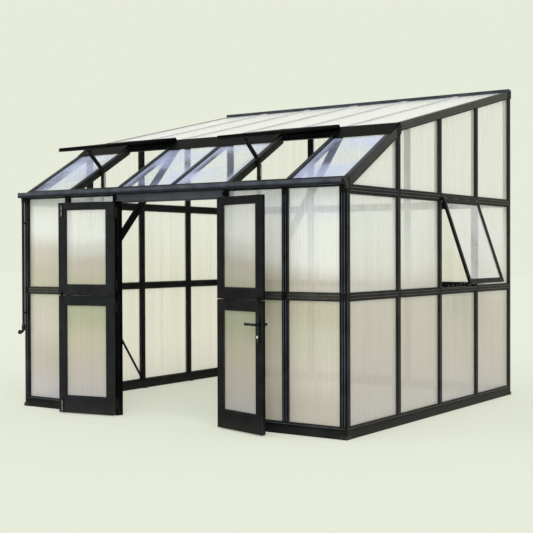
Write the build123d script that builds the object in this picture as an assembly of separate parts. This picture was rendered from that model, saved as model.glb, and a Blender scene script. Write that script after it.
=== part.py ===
from build123d import *
import os
from math import atan, cos, radians, sin, tan

# Lean-to greenhouse: an aluminium frame with twin-wall sheet walls, a steep
# glazed lower roof with two opening vents, and a shallow sheeted upper roof.
# Millimetres. X runs along the front, Y runs from the front to the back, Z is up.
# The house is drawn with its front left corner at zero. At the end it is moved
# so that the origin is on the ground under the middle of its bounding box.

# Overall size
overall_width = 3510.0
overall_depth = 3270.0
eave_z = 1989.0
kink_y = 865.0
kink_z = 2502.0
kink_step = 20.0
ridge_z = 3065.0
ridge_step = 14.0

# Frame members
frame_depth = 50.0
post_width = 50.0
corner_width = 60.0
corner_radius = 14.0
sill_height = 88.0
sill_lip_height = 20.0
sill_line_depth = 4.0
sill_line_height = 5.0
mid_rail_z = 1091.0
mid_rail_height = 50.0
eave_rail_top_z = 1950.0
eave_rail_height = 56.0
beam_bottom_z = 1950.0
header_height = 57.0
rafter_width = 44.0
rafter_depth = 60.0
end_rafter_lower_depth = 78.0
end_rafter_upper_depth = 64.0
purlin_height = 80.0
plate_height = 95.0

# Lines of the bars along the front, measured from the left end
first_bar_x = 565.0
jamb_x = 1150.0
side_bay = 785.0

# Sheets and glass
sheet_thickness = 8.0
glass_thickness = 4.0
sheet_setback = 16.0
roof_cover = 6.0
bite = 12.0
groove_clearance = 0.3
groove_end = 1.0
overshoot = 1.0

# Doorway and door leaves
leaf_gap = 5.0
leaf_bottom_z = 10.0
leaf_thickness = 40.0
leaf_split_z = 1060.0
leaf_split_gap = 4.0
stile_width = 72.0
top_rail_height = 58.0
upper_bottom_rail_height = 87.0
lower_top_rail_height = 80.0
kick_rail_height = 145.0
leaf_sheet_setback = 16.0
stop_reach = 15.0
stop_thickness = 5.0
left_door_open = 170.0
right_door_open = 164.0

# Door hinges
hinge_axis_forward = 12.0
hinge_height = 90.0
hinge_knuckle_radius = 7.0
hinge_pin_radius = 4.0
hinge_running_gap = 0.4
hinge_plate_width = 32.0
hinge_plate_thickness = 3.0
hinge_inset = 95.0

# Door furniture
handle_z = 872.0
handle_from_edge = 38.0
lock_plate_width = 34.0
lock_plate_top = 78.0
lock_plate_bottom = 145.0
lock_plate_thickness = 7.0
key_drop = 98.0
key_radius = 9.0
key_length = 6.0
lever_length = 125.0
lever_height = 18.0
lever_thickness = 12.0
lever_reach = 45.0
lever_edge = 3.5
spindle_radius = 9.0
spindle_clearance = 0.4
bolt_length = 120.0
bolt_width = 26.0
bolt_thickness = 6.0
bolt_rod_radius = 5.0
latch_length = 70.0
latch_width = 20.0

# Roof vents
vent_length = 975.0
vent_angle = 8.5
vent_stile = 40.0
vent_thickness = 26.0
vent_edge_gap = 3.0
vent_lift = 0.3
vent_bead_radius = 8.0
opener_pivot_y = 430.0
opener_pivot_drop = 8.0
opener_arm_y = 240.0
opener_arm_width = 30.0
opener_arm_thickness = 14.0
opener_arm_inset = 4.0
opener_knob_radius = 24.0
opener_tube_radius = 15.0
opener_tube_length = 300.0
opener_bracket = 34.0

# Side window
window_angle = 19.0
window_overlap = 8.0
window_stile = 34.0
window_thickness = 22.0
window_hinge_z = 1906.0
window_bottom_z = 1120.0

# Braces
knee_brace_width = 30.0
knee_brace_depth = 56.0
knee_brace_foot_z = 1555.0
side_brace_width = 20.0
side_brace_thickness = 12.0

# Gutter and downpipe
gutter_depth = 72.0
gutter_height = 48.0
gutter_wall = 3.0
gutter_bottom_z = 1953.0
gutter_lip = 8.0
end_cap_thickness = 4.0
pipe_radius = 12.5
pipe_x = 27.0
pipe_end_z = 700.0
pipe_bend_radius = 34.0
pipe_spout = 18.0

# Flashing over the kink, between the vents
flashing_length = 150.0
flashing_lap = 25.0
flashing_foot = 12.0
flashing_thickness = 3.0
flashing_end_gap = 3.0

# Small covers
bracket_thickness = 4.0
bracket_height = 92.0
bracket_width = 72.0
foot_height = 30.0
foot_thickness = 4.0

# Worked-out places
half_width = overall_width / 2
bar_xs = [first_bar_x, jamb_x, half_width, overall_width - jamb_x, overall_width - first_bar_x]
side_post_ys = [kink_y, kink_y + side_bay, kink_y + 2 * side_bay]
lower_kink_z = kink_z - kink_step
lower_slope = atan((lower_kink_z - eave_z) / kink_y)
upper_slope = atan((ridge_z - ridge_step - kink_z) / (overall_depth - kink_y))
groove_depth = bite + groove_end
purlin_half = post_width / 2
purlin_bottom_z = kink_z - purlin_height
plate_bottom_z = ridge_z - plate_height
header_bottom_z = beam_bottom_z - header_height
leaf_top_z = header_bottom_z - leaf_gap
door_left_x = jamb_x + post_width / 2
door_right_x = overall_width - door_left_x
leaf_width = (door_right_x - door_left_x) / 2 - 2 * leaf_gap


def block(x0, x1, y0, y1, z0, z1):
    """An upright box between two corners."""
    size = Box(abs(x1 - x0), abs(y1 - y0), abs(z1 - z0))
    return Pos((x0 + x1) / 2, (y0 + y1) / 2, (z0 + z1) / 2) * size


def wall_block(wall, u0, u1, d0, d1, z0, z1):
    """A box on a wall: u runs along the wall, d goes in from its outer face."""
    if wall == "front":
        return block(u0, u1, d0, d1, z0, z1)
    if wall == "back":
        return block(u0, u1, overall_depth - d1, overall_depth - d0, z0, z1)
    if wall == "left":
        return block(d0, d1, u0, u1, z0, z1)
    return block(overall_width - d1, overall_width - d0, u0, u1, z0, z1)


def profile_yz(points, x0, x1):
    """A prism along X with the given outline in the YZ plane."""
    face = make_face(Polyline([(0, y, z) for y, z in points], close=True))
    return Pos(x0, 0, 0) * extrude(face, amount=x1 - x0, dir=(1, 0, 0))


def roof_z(y, drop=0.0, slope=None):
    """Height of the roof surface at y, lowered square to its slope by drop."""
    on_lower = slope == "lower" or (slope is None and y < kink_y)
    angle = lower_slope if on_lower else upper_slope
    start_z = lower_kink_z if on_lower else kink_z
    return start_z + (y - kink_y) * tan(angle) - drop / cos(angle)


def rafter_drop(slope, is_end):
    """How deep a roof bar is; the two end bars also frame the gables."""
    if not is_end:
        return rafter_depth
    return end_rafter_lower_depth if slope == "lower" else end_rafter_upper_depth


def roof_slab(slope, x0, x1, y0, y1, drop0, drop1):
    """A slab in one roof slope between two depths under the roof surface."""
    outline = [
        (y0, roof_z(y0, drop0, slope)),
        (y1, roof_z(y1, drop0, slope)),
        (y1, roof_z(y1, drop1, slope)),
        (y0, roof_z(y0, drop1, slope)),
    ]
    return profile_yz(outline, x0, x1)


def under_roof(lower_drop, upper_drop):
    """Everything below the two roof slopes, each lowered by its own drop."""
    end_y = overall_depth + overshoot
    outline = [
        (-overshoot, -overshoot),
        (-overshoot, roof_z(-overshoot, lower_drop, "lower")),
        (kink_y, roof_z(kink_y, lower_drop, "lower")),
        (kink_y, roof_z(kink_y, upper_drop, "upper")),
        (end_y, roof_z(end_y, upper_drop, "upper")),
        (end_y, -overshoot),
    ]
    margin = bracket_thickness + overshoot
    return profile_yz(outline, -margin, overall_width + margin)


def groove_span(setback=sheet_setback, thickness=sheet_thickness):
    return setback - groove_clearance, setback + thickness + groove_clearance


def wall_post(wall, u_mid, z0, z1, low_groove=True, high_groove=True):
    """An upright with sheet grooves down its two sides."""
    u0, u1 = u_mid - post_width / 2, u_mid + post_width / 2
    d0, d1 = groove_span()
    post = wall_block(wall, u0, u1, 0, frame_depth, z0, z1)
    low_z, high_z = z0 - overshoot, z1 + overshoot
    if low_groove:
        post -= wall_block(wall, u0 - overshoot, u0 + groove_depth, d0, d1, low_z, high_z)
    if high_groove:
        post -= wall_block(wall, u1 - groove_depth, u1 + overshoot, d0, d1, low_z, high_z)
    return post


def wall_rail(wall, u0, u1, z0, z1, low_groove=True, high_groove=True):
    """A level member with sheet grooves along its edges."""
    d0, d1 = groove_span()
    rail = wall_block(wall, u0, u1, 0, frame_depth, z0, z1)
    start, end = u0 - overshoot, u1 + overshoot
    if low_groove:
        rail -= wall_block(wall, start, end, d0, d1, z0 - overshoot, z0 + groove_depth)
    if high_groove:
        rail -= wall_block(wall, start, end, d0, d1, z1 - groove_depth, z1 + overshoot)
    return rail


def wall_sheet(wall, u0, u1, z0, z1):
    """A twin-wall sheet that fills one opening and bites into its grooves."""
    d0 = sheet_setback
    return wall_block(wall, u0 - bite, u1 + bite, d0, d0 + sheet_thickness, z0 - bite, z1 + bite)


def bays(start, posts, end):
    """Clear spans between the two end members and the posts between them."""
    edges = [start]
    for middle in posts:
        edges += [middle - post_width / 2, middle + post_width / 2]
    edges.append(end)
    return list(zip(edges[0::2], edges[1::2]))


side_bays = bays(corner_width, side_post_ys, overall_depth - corner_width)
back_bays = bays(corner_width, [jamb_x, overall_width - jamb_x], overall_width - corner_width)
left_front_bays = bays(corner_width, [first_bar_x], jamb_x - post_width / 2)
right_front_bays = [(overall_width - u1, overall_width - u0) for u0, u1 in left_front_bays]
front_bays = left_front_bays + right_front_bays
mid_z0 = mid_rail_z - mid_rail_height / 2
mid_z1 = mid_rail_z + mid_rail_height / 2
eave_rail_z0 = eave_rail_top_z - eave_rail_height
window_bay = side_bays[2]


def sill(wall, u0, u1):
    """Bottom member with a shadow line under its top lip."""
    line_z = sill_height - sill_lip_height
    body = wall_rail(wall, u0, u1, 0, sill_height, low_groove=False)
    start, end = u0 - overshoot, u1 + overshoot
    bottom = line_z - sill_line_height
    return body - wall_block(wall, start, end, -overshoot, sill_line_depth, bottom, line_z)


def corner_post(is_left, is_front, top_z):
    """Corner upright with a rounded outer edge and grooves for two walls."""
    x0 = 0 if is_left else overall_width - corner_width
    y0 = 0 if is_front else overall_depth - corner_width
    post = block(x0, x0 + corner_width, y0, y0 + corner_width, 0, top_z)
    outer_x = 0 if is_left else overall_width
    outer_y = 0 if is_front else overall_depth
    corner = [e for e in post.edges().filter_by(Axis.Z) if is_at(e, outer_x, outer_y)]
    post = fillet(corner, corner_radius)
    d0, d1 = groove_span()
    side = "left" if is_left else "right"
    end = "front" if is_front else "back"
    inner_y = corner_width - groove_depth if is_front else overall_depth - corner_width
    inner_x = corner_width - groove_depth if is_left else overall_width - corner_width
    low_z, high_z = -overshoot, top_z + overshoot
    post -= wall_block(side, inner_y, inner_y + groove_depth, d0, d1, low_z, high_z)
    post -= wall_block(end, inner_x, inner_x + groove_depth, d0, d1, low_z, high_z)
    return post


def is_at(edge, x, y):
    middle = edge.center()
    return abs(middle.X - x) < 1e-3 and abs(middle.Y - y) < 1e-3


def mirror_x(shape):
    """The same piece at the other end of the front."""
    return mirror(shape, Plane.YZ.offset(half_width))


def door_jamb():
    """Left jamb: a post with one sheet groove and a stop for the closed leaf."""
    post = wall_post("front", jamb_x, 0, beam_bottom_z, high_groove=False)
    stop_y = frame_depth - stop_thickness
    stop = block(door_left_x, door_left_x + stop_reach, stop_y, frame_depth, 0, header_bottom_z)
    return post + stop


def door_header():
    lintel = block(door_left_x, door_right_x, 0, frame_depth, header_bottom_z, beam_bottom_z)
    x0, x1 = door_left_x + stop_reach, door_right_x - stop_reach
    stop_y, stop_z = frame_depth - stop_thickness, header_bottom_z - stop_reach
    return lintel + block(x0, x1, stop_y, frame_depth, stop_z, header_bottom_z)


def side_posts(wall):
    """Uprights of an end wall, cut to the underside of the rafters."""
    posts = []
    for index, y in enumerate(side_post_ys):
        top = purlin_bottom_z if index == 0 else ridge_z
        posts.append(wall_post(wall, y, sill_height, top) & under_gable(0))
    return posts


def wall_rails(wall, spans, has_window=False):
    rails = []
    for u0, u1 in spans:
        opens = has_window and (u0, u1) == window_bay
        rails.append(wall_rail(wall, u0, u1, mid_z0, mid_z1, high_groove=not opens))
        rails.append(wall_rail(wall, u0, u1, eave_rail_z0, eave_rail_top_z, low_groove=not opens))
    return rails


def under_gable(rise):
    """Everything below the end rafters, with their undersides raised by rise."""
    return under_roof(end_rafter_lower_depth - rise, end_rafter_upper_depth - rise)


def side_sheets(wall):
    """Three tiers of sheets in an end wall; the top tier follows the roof."""
    sheets = []
    gable_limit = under_gable(bite)
    beam_z = beam_bottom_z - groove_clearance
    beam_y = corner_width + groove_clearance
    gable_limit -= block(-overshoot, overall_width + overshoot, 0, beam_y, beam_z, ridge_z)
    for u0, u1 in side_bays:
        sheets.append(wall_sheet(wall, u0, u1, sill_height, mid_z0))
        if wall != "right" or (u0, u1) != window_bay:
            sheets.append(wall_sheet(wall, u0, u1, mid_z1, eave_rail_z0))
        sheets.append(wall_sheet(wall, u0, u1, eave_rail_top_z, ridge_z) & gable_limit)
    return sheets


def back_sheets():
    tiers = [(sill_height, mid_z0), (mid_z1, eave_rail_z0), (eave_rail_top_z, plate_bottom_z)]
    return [wall_sheet("back", u0, u1, z0, z1) for u0, u1 in back_bays for z0, z1 in tiers]


def front_sheets():
    tiers = [(sill_height, mid_z0), (mid_z1, beam_bottom_z)]
    return [wall_sheet("front", u0, u1, z0, z1) for u0, u1 in front_bays for z0, z1 in tiers]


# The roof's bays lie between the end rafters and the five bars.
end_rafter_width = frame_depth
rafter_lines = [end_rafter_width / 2] + bar_xs + [overall_width - end_rafter_width / 2]


def rafter_edges(index):
    """Left and right faces of one rafter."""
    is_end = index in (0, len(rafter_lines) - 1)
    half = (end_rafter_width if is_end else rafter_width) / 2
    return rafter_lines[index] - half, rafter_lines[index] + half


roof_bays = [(rafter_edges(i)[1], rafter_edges(i + 1)[0]) for i in range(len(rafter_lines) - 1)]
vent_bays = [rafter_lines.index(first_bar_x), rafter_lines.index(overall_width - jamb_x)]
lower_y = (corner_width, kink_y - purlin_half)
upper_y = (kink_y + purlin_half, overall_depth - corner_width)


def rafter(index, slope):
    """One roof bar, grooved along both sides for the roof sheets."""
    x0, x1 = rafter_edges(index)
    y0, y1 = lower_y if slope == "lower" else upper_y
    thickness = glass_thickness if slope == "lower" else sheet_thickness
    top, bottom = roof_cover - groove_clearance, roof_cover + thickness + groove_clearance
    is_end = index in (0, len(rafter_lines) - 1)
    depth = rafter_drop(slope, is_end)
    bar = roof_slab(slope, x0, x1, y0, y1, 0, depth)
    start, end = y0 - overshoot, y1 + overshoot
    if index > 0:
        bar -= roof_slab(slope, x0 - overshoot, x0 + groove_depth, start, end, top, bottom)
    if index < len(rafter_lines) - 1:
        bar -= roof_slab(slope, x1 - groove_depth, x1 + overshoot, start, end, top, bottom)
    if is_end:
        bar -= gable_groove("left" if index == 0 else "right", slope, y0, y1)
        bar &= block(x0, x1, y0, y1, eave_rail_top_z, ridge_z)
    return bar


def gable_groove(wall, slope, y0, y1):
    """Slot under an end rafter for the top edge of the gable sheets."""
    d0, d1 = groove_span()
    x0, x1 = (d0, d1) if wall == "left" else (overall_width - d1, overall_width - d0)
    start, end = y0 - overshoot, y1 + overshoot
    depth = rafter_drop(slope, is_end=True)
    return roof_slab(slope, x0, x1, start, end, depth - groove_depth, depth + overshoot)


def roof_sheet(slope, bay_index, play=0.0):
    """A roof sheet, or with some play the groove that takes it."""
    x0, x1 = roof_bays[bay_index]
    y0, y1 = lower_y if slope == "lower" else upper_y
    thickness = glass_thickness if slope == "lower" else sheet_thickness
    hold = bite + (groove_end if play else 0.0)
    top, bottom = roof_cover - play, roof_cover + thickness + play
    return roof_slab(slope, x0 - hold, x1 + hold, y0 - hold, y1 + hold, top, bottom)


def fixed_glass_bays():
    return [i for i in range(len(roof_bays)) if i not in vent_bays]


def end_sheet_grooves(y0, y1):
    """Slots in a cross member for the upright edges of the gable sheets."""
    d0, d1 = groove_span()
    limit = under_gable(groove_depth)
    slots = [wall_block(wall, y0, y1, d0, d1, eave_rail_top_z, ridge_z) for wall in ("left", "right")]
    return [slot & limit for slot in slots]


def eave_beam():
    """Front cross member, with its top in the roof plane."""
    outline = [
        (0, beam_bottom_z),
        (0, roof_z(0)),
        (corner_width, roof_z(corner_width)),
        (corner_width, beam_bottom_z),
    ]
    beam = profile_yz(outline, 0, overall_width)
    d0, d1 = groove_span()
    for u0, u1 in front_bays:
        z0, z1 = beam_bottom_z - overshoot, beam_bottom_z + groove_depth
        beam -= wall_block("front", u0 - bite, u1 + bite, d0, d1, z0, z1)
    for index in fixed_glass_bays():
        beam -= roof_sheet("lower", index, groove_clearance)
    return beam


def kink_purlin():
    """Cross member under the line where the two roof slopes meet."""
    outline = [
        (kink_y - purlin_half, purlin_bottom_z),
        (kink_y - purlin_half, roof_z(kink_y - purlin_half, 0, "lower")),
        (kink_y, lower_kink_z),
        (kink_y, kink_z),
        (kink_y + purlin_half, roof_z(kink_y + purlin_half, 0, "upper")),
        (kink_y + purlin_half, purlin_bottom_z),
    ]
    purlin = profile_yz(outline, 0, overall_width)
    for index in fixed_glass_bays():
        purlin -= roof_sheet("lower", index, groove_clearance)
    for index in range(len(roof_bays)):
        purlin -= roof_sheet("upper", index, groove_clearance)
    front, back = kink_y - purlin_half, kink_y + purlin_half
    for slot in end_sheet_grooves(front - overshoot, front + groove_depth):
        purlin -= slot
    for slot in end_sheet_grooves(back - groove_depth, back + overshoot):
        purlin -= slot
    return purlin


def kink_flashing():
    """Folded strips over the kink, left out where the vents are hinged."""
    y_low = kink_y - flashing_length
    y_foot, y_lap = y_low + flashing_foot, kink_y + flashing_lap
    t = flashing_thickness
    outline = [
        (y_low, roof_z(y_low, 0, "lower")),
        (y_low, roof_z(y_low, 0, "lower") + t),
        (kink_y, kink_z + t),
        (y_lap, roof_z(y_lap, 0, "upper") + t),
        (y_lap, roof_z(y_lap, 0, "upper")),
        (kink_y, kink_z),
        (y_foot, roof_z(y_foot, 0, "lower")),
    ]
    edges = [0]
    for index in vent_bays:
        left_line, right_line = rafter_lines[index], rafter_lines[index + 1]
        edges += [left_line - flashing_end_gap, right_line + flashing_end_gap]
    edges.append(overall_width)
    return [profile_yz(outline, x0, x1) for x0, x1 in zip(edges[0::2], edges[1::2])]


def wall_plate():
    """Top member of the back wall, which would be fixed to the house."""
    front_y = overall_depth - corner_width
    plate = block(0, overall_width, front_y, overall_depth, plate_bottom_z, ridge_z)
    d0, d1 = groove_span()
    for u0, u1 in back_bays:
        z0, z1 = plate_bottom_z - overshoot, plate_bottom_z + groove_depth
        plate -= wall_block("back", u0 - bite, u1 + bite, d0, d1, z0, z1)
    for index in range(len(roof_bays)):
        plate -= roof_sheet("upper", index, groove_clearance)
    for slot in end_sheet_grooves(front_y - overshoot, front_y + groove_depth):
        plate -= slot
    return plate


def sash(width, length, stile, thickness, pane_thickness, bead_radius):
    """A hinged frame in its own plane: hinge along X at y = 0, body below it."""
    frame = block(0, width, -length, 0, 0, thickness)
    top = thickness + overshoot
    frame -= block(stile, width - stile, stile - length, -stile, -overshoot, top)
    middle = thickness / 2
    half = pane_thickness / 2 + groove_clearance
    inner = stile - groove_depth
    frame -= block(inner, width - inner, inner - length, -inner, middle - half, middle + half)
    bead = Pos(width / 2, 0, bead_radius) * Rot(0, 90, 0) * Cylinder(bead_radius, width)
    edge = stile - bite
    half = pane_thickness / 2
    pane = block(edge, width - edge, edge - length, -edge, middle - half, middle + half)
    return frame + bead, pane


def vent_plane(bay_index):
    """Where an open vent lies: hinged at the kink, its free end at the front."""
    x0 = roof_bays[bay_index][0] - rafter_width / 2 + vent_edge_gap
    angle = radians(vent_angle)
    origin = (x0, kink_y, kink_z + vent_lift)
    return Plane(origin=origin, x_dir=(1, 0, 0), z_dir=(0, -sin(angle), cos(angle)))


def roof_vent(bay_index):
    x0, x1 = roof_bays[bay_index]
    width = x1 - x0 + rafter_width - 2 * vent_edge_gap
    parts = sash(width, vent_length, vent_stile, vent_thickness, glass_thickness, vent_bead_radius)
    place = vent_plane(bay_index).location
    return [place * part for part in parts]


def vent_opener(bay_index):
    """Fixed opener: a pivot on the rafter, an arm to the vent and a hanging tube."""
    x_face = roof_bays[bay_index][0]
    pivot_z = roof_z(opener_pivot_y, opener_pivot_drop, "lower")
    axis_x = x_face + opener_bracket / 2
    knob = Rot(0, 90, 0) * Cylinder(opener_knob_radius, opener_bracket)
    knob = Pos(axis_x, opener_pivot_y, pivot_z) * knob
    sash_slope = tan(radians(vent_angle))
    sash_z = kink_z + vent_lift - (kink_y - opener_arm_y) * sash_slope
    half = opener_arm_width / 2
    outline = [
        (opener_pivot_y - half, pivot_z),
        (opener_arm_y - half, sash_z - half * sash_slope),
        (opener_arm_y + half, sash_z + half * sash_slope),
        (opener_pivot_y + half, pivot_z),
    ]
    arm_x = x_face + opener_arm_inset
    arm = profile_yz(outline, arm_x, arm_x + opener_arm_thickness)
    tube = Pos(axis_x, opener_pivot_y, pivot_z - opener_tube_length / 2)
    tube = tube * Cylinder(opener_tube_radius, opener_tube_length)
    return knob.fuse(arm, tube)


def window_sash():
    """Top-hinged sash on the outside of the right end wall."""
    y0, y1 = window_bay
    width = y1 - y0 + 2 * window_overlap
    length = window_hinge_z - window_bottom_z + window_overlap
    radius = window_thickness / 2
    frame, pane = sash(width, length, window_stile, window_thickness, glass_thickness, radius)
    angle = radians(window_angle)
    hinge_x = overall_width + groove_clearance + radius * (1 - cos(angle))
    origin = (hinge_x, y0 - window_overlap, window_hinge_z)
    place = Plane(origin=origin, x_dir=(0, 1, 0), z_dir=(cos(angle), 0, sin(angle))).location
    return [place * frame, place * pane]


def turn_left(shape):
    """Bring a piece of the left leaf from closed to its open resting place."""
    return shape.rotate(Axis((door_left_x, -hinge_axis_forward, 0), (0, 0, 1)), -left_door_open)


def turn_right(shape):
    """The same for the right leaf, drawn closed at the left jamb and mirrored."""
    closed = mirror_x(shape)
    axis = Axis((door_right_x, -hinge_axis_forward, 0), (0, 0, 1))
    return closed.rotate(axis, right_door_open)


leaf_x0 = door_left_x + leaf_gap
leaf_x1 = leaf_x0 + leaf_width
lower_half = (leaf_bottom_z, leaf_split_z - leaf_split_gap / 2)
upper_half = (leaf_split_z + leaf_split_gap / 2, leaf_top_z)


def leaf_frame(span, bottom_rail, top_rail, spindle_hole=False):
    """One half of a stable door: two stiles, two rails and an inner groove."""
    z0, z1 = span
    frame = block(leaf_x0, leaf_x1, 0, leaf_thickness, z0, z1)
    inner_x0, inner_x1 = leaf_x0 + stile_width, leaf_x1 - stile_width
    inner_z0, inner_z1 = z0 + bottom_rail, z1 - top_rail
    back_y = leaf_thickness + overshoot
    frame -= block(inner_x0, inner_x1, -overshoot, back_y, inner_z0, inner_z1)
    d0, d1 = groove_span(leaf_sheet_setback)
    g = groove_depth
    frame -= block(inner_x0 - g, inner_x1 + g, d0, d1, inner_z0 - g, inner_z1 + g)
    if spindle_hole:
        frame -= spindle_bore(leaf_thickness / 2, leaf_thickness)
    return frame


def spindle_bore(y, depth):
    """The round hole that the lever's spindle turns in, through a given depth."""
    bore = Cylinder(spindle_radius + spindle_clearance, depth + 2 * overshoot)
    return Pos(handle_x(), y, handle_z) * Rot(90, 0, 0) * bore


def leaf_sheet(span, bottom_rail, top_rail):
    z0, z1 = span[0] + bottom_rail - bite, span[1] - top_rail + bite
    x0, x1 = leaf_x0 + stile_width - bite, leaf_x1 - stile_width + bite
    return block(x0, x1, leaf_sheet_setback, leaf_sheet_setback + sheet_thickness, z0, z1)


def leaf_lower(spindle_hole=False):
    return leaf_frame(lower_half, kick_rail_height, lower_top_rail_height, spindle_hole)


def leaf_upper():
    return leaf_frame(upper_half, upper_bottom_rail_height, top_rail_height)


def leaf_sheets():
    low = leaf_sheet(lower_half, kick_rail_height, lower_top_rail_height)
    high = leaf_sheet(upper_half, upper_bottom_rail_height, top_rail_height)
    return [low, high]


def hinge_heights():
    """Middle heights of the hinges, two on each half of a leaf."""
    heights = []
    for z0, z1 in (lower_half, upper_half):
        heights += [z0 + hinge_inset, z1 - hinge_inset]
    return heights


def knuckle(z0, z1, radius, bore=0.0):
    """One barrel of a hinge, round the pin line beside the left jamb."""
    place = Pos(door_left_x, -hinge_axis_forward, (z0 + z1) / 2)
    barrel = place * Cylinder(radius, z1 - z0)
    if bore:
        barrel -= place * Cylinder(bore, z1 - z0 + 2 * overshoot)
    return barrel


def frame_hinge(z):
    """Jamb half of a hinge: a plate with two barrels and the pin."""
    third = hinge_height / 3
    z0, z1 = z - hinge_height / 2, z + hinge_height / 2
    pieces = []
    for low, high in ((z0, z0 + third), (z1 - third, z1)):
        pieces.append(knuckle(low, high, hinge_knuckle_radius))
        x0 = door_left_x - hinge_knuckle_radius
        pieces.append(block(x0, door_left_x, -hinge_axis_forward, 0, low, high))
        plate_x = door_left_x - hinge_plate_width
        pieces.append(block(plate_x, door_left_x, -hinge_plate_thickness, 0, low, high))
    pieces.append(knuckle(z0, z1, hinge_pin_radius))
    return pieces[0].fuse(*pieces[1:])


def leaf_hinge(z):
    """Leaf half of a hinge: a plate with the middle barrel round the pin."""
    half = hinge_height / 6 - hinge_running_gap
    z0, z1 = z - half, z + half
    arm = block(door_left_x, door_left_x + hinge_knuckle_radius, -hinge_axis_forward, 0, z0, z1)
    arm -= knuckle(z0 - overshoot, z1 + overshoot, hinge_pin_radius + hinge_running_gap)
    plate_x = leaf_x0 + hinge_plate_width
    plate = block(door_left_x, plate_x, -hinge_plate_thickness, 0, z0, z1)
    barrel = knuckle(z0, z1, hinge_knuckle_radius, hinge_pin_radius + hinge_running_gap)
    return barrel.fuse(arm, plate)


def handle_x():
    return leaf_x1 - handle_from_edge


def lock_plates():
    """Cover plates on both faces of the lower half, with a key barrel on each."""
    plates = []
    x0, x1 = handle_x() - lock_plate_width / 2, handle_x() + lock_plate_width / 2
    z0, z1 = handle_z - lock_plate_bottom, handle_z + lock_plate_top
    for outward, face_y in ((-1, 0.0), (1, leaf_thickness)):
        plate = block(x0, x1, face_y, face_y + outward * lock_plate_thickness, z0, z1)
        plate -= spindle_bore(face_y + outward * lock_plate_thickness / 2, lock_plate_thickness)
        key_y = face_y + outward * (lock_plate_thickness + key_length) / 2
        key = Rot(90, 0, 0) * Cylinder(key_radius, lock_plate_thickness + key_length)
        plates.append(plate + Pos(handle_x(), key_y, handle_z - key_drop) * key)
    return plates


def lever_handle():
    """Two levers on one spindle through the stile, both pointing to the hinges."""
    length = leaf_thickness + 2 * lever_reach
    spindle = Pos(handle_x(), leaf_thickness / 2, handle_z) * Rot(90, 0, 0)
    handle = spindle * Cylinder(spindle_radius, length)
    x0, x1 = handle_x() - lever_length, handle_x() + spindle_radius
    z0, z1 = handle_z - lever_height / 2, handle_z + lever_height / 2
    for outward, face_y in ((-1, 0.0), (1, leaf_thickness)):
        tip_y = face_y + outward * lever_reach
        lever = block(x0, x1, tip_y - outward * lever_thickness, tip_y, z0, z1)
        handle += chamfer(lever.edges().filter_by(Axis.X), lever_edge)
    return handle


def slide_bolt(z0):
    """A small bolt on the inner face of a leaf, near its free edge."""
    x = leaf_x1 - stile_width / 2
    y0, y1 = leaf_thickness, leaf_thickness + bolt_thickness
    plate = block(x - bolt_width / 2, x + bolt_width / 2, y0, y1, z0, z0 + bolt_length)
    rod = Pos(x, y1, z0 + bolt_length / 2) * Cylinder(bolt_rod_radius, bolt_length)
    return plate + rod


def split_latch():
    """A turn latch that ties the upper half of a leaf to the lower half."""
    x = leaf_x1 - stile_width / 2
    y0, y1 = leaf_thickness, leaf_thickness + bolt_thickness
    z0, z1 = leaf_split_z - latch_length / 2, leaf_split_z + latch_length / 2
    return block(x - latch_width / 2, x + latch_width / 2, y0, y1, z0, z1)


def knee_brace(x):
    """Sloping strut from the back of a front post up to the kink purlin."""
    slope = atan((purlin_bottom_z - knee_brace_foot_z) / (kink_y - frame_depth))
    half = knee_brace_depth / 2 / cos(slope)
    y0, y1 = frame_depth, kink_y + post_width
    z1 = knee_brace_foot_z + (y1 - y0) * tan(slope)
    outline = [
        (y0, knee_brace_foot_z - half),
        (y1, z1 - half),
        (y1, z1 + half),
        (y0, knee_brace_foot_z + half),
    ]
    bar = profile_yz(outline, x - knee_brace_width / 2, x + knee_brace_width / 2)
    bar &= block(0, overall_width, y0, y1, 0, purlin_bottom_z)
    return bar & under_roof(rafter_depth, rafter_depth)


def side_brace():
    """Thin diagonal inside the left wall, from a post's foot up to the mid rail."""
    y_foot = side_post_ys[1] - post_width / 2
    y_head = side_post_ys[0] + post_width / 2
    x0, x1 = frame_depth, frame_depth + side_brace_thickness
    slope = atan((mid_rail_z - sill_height) / (y_foot - y_head))
    half = side_brace_width / 2 / cos(slope)
    outline = [
        (y_foot, sill_height - half),
        (y_foot, sill_height + half),
        (y_head, mid_rail_z + half),
        (y_head, mid_rail_z - half),
    ]
    return profile_yz(outline, x0, x1)


def gutter():
    """Eave gutter: an open channel along the front of the beam."""
    z0, z1 = gutter_bottom_z, gutter_bottom_z + gutter_height
    shell = block(0, overall_width, -gutter_depth, 0, z0, z1)
    y0, y1 = gutter_wall - gutter_depth, -gutter_wall
    x0, x1 = -overshoot, overall_width + overshoot
    hollow = block(x0, x1, y0, y1, z0 + gutter_wall, z1 + overshoot)
    lip = block(0, overall_width, -gutter_depth, gutter_lip - gutter_depth, z1 - gutter_wall, z1)
    return shell - hollow + lip


def gutter_caps():
    z0, z1 = gutter_bottom_z, gutter_bottom_z + gutter_height
    cap = block(-end_cap_thickness, 0, -gutter_depth, 0, z0, z1)
    return [cap, mirror_x(cap)]


def downpipe():
    """Pipe from the gutter's left end, with its foot turned out to the front."""
    y = -gutter_depth / 2
    path = FilletPolyline(
        (pipe_x, y, gutter_bottom_z),
        (pipe_x, y, pipe_end_z),
        (pipe_x, y - pipe_bend_radius - pipe_spout, pipe_end_z),
        radius=pipe_bend_radius,
    )
    start = Plane(origin=(pipe_x, y, gutter_bottom_z), z_dir=(0, 0, -1))
    return sweep(start * Circle(pipe_radius), path=path)


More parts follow.
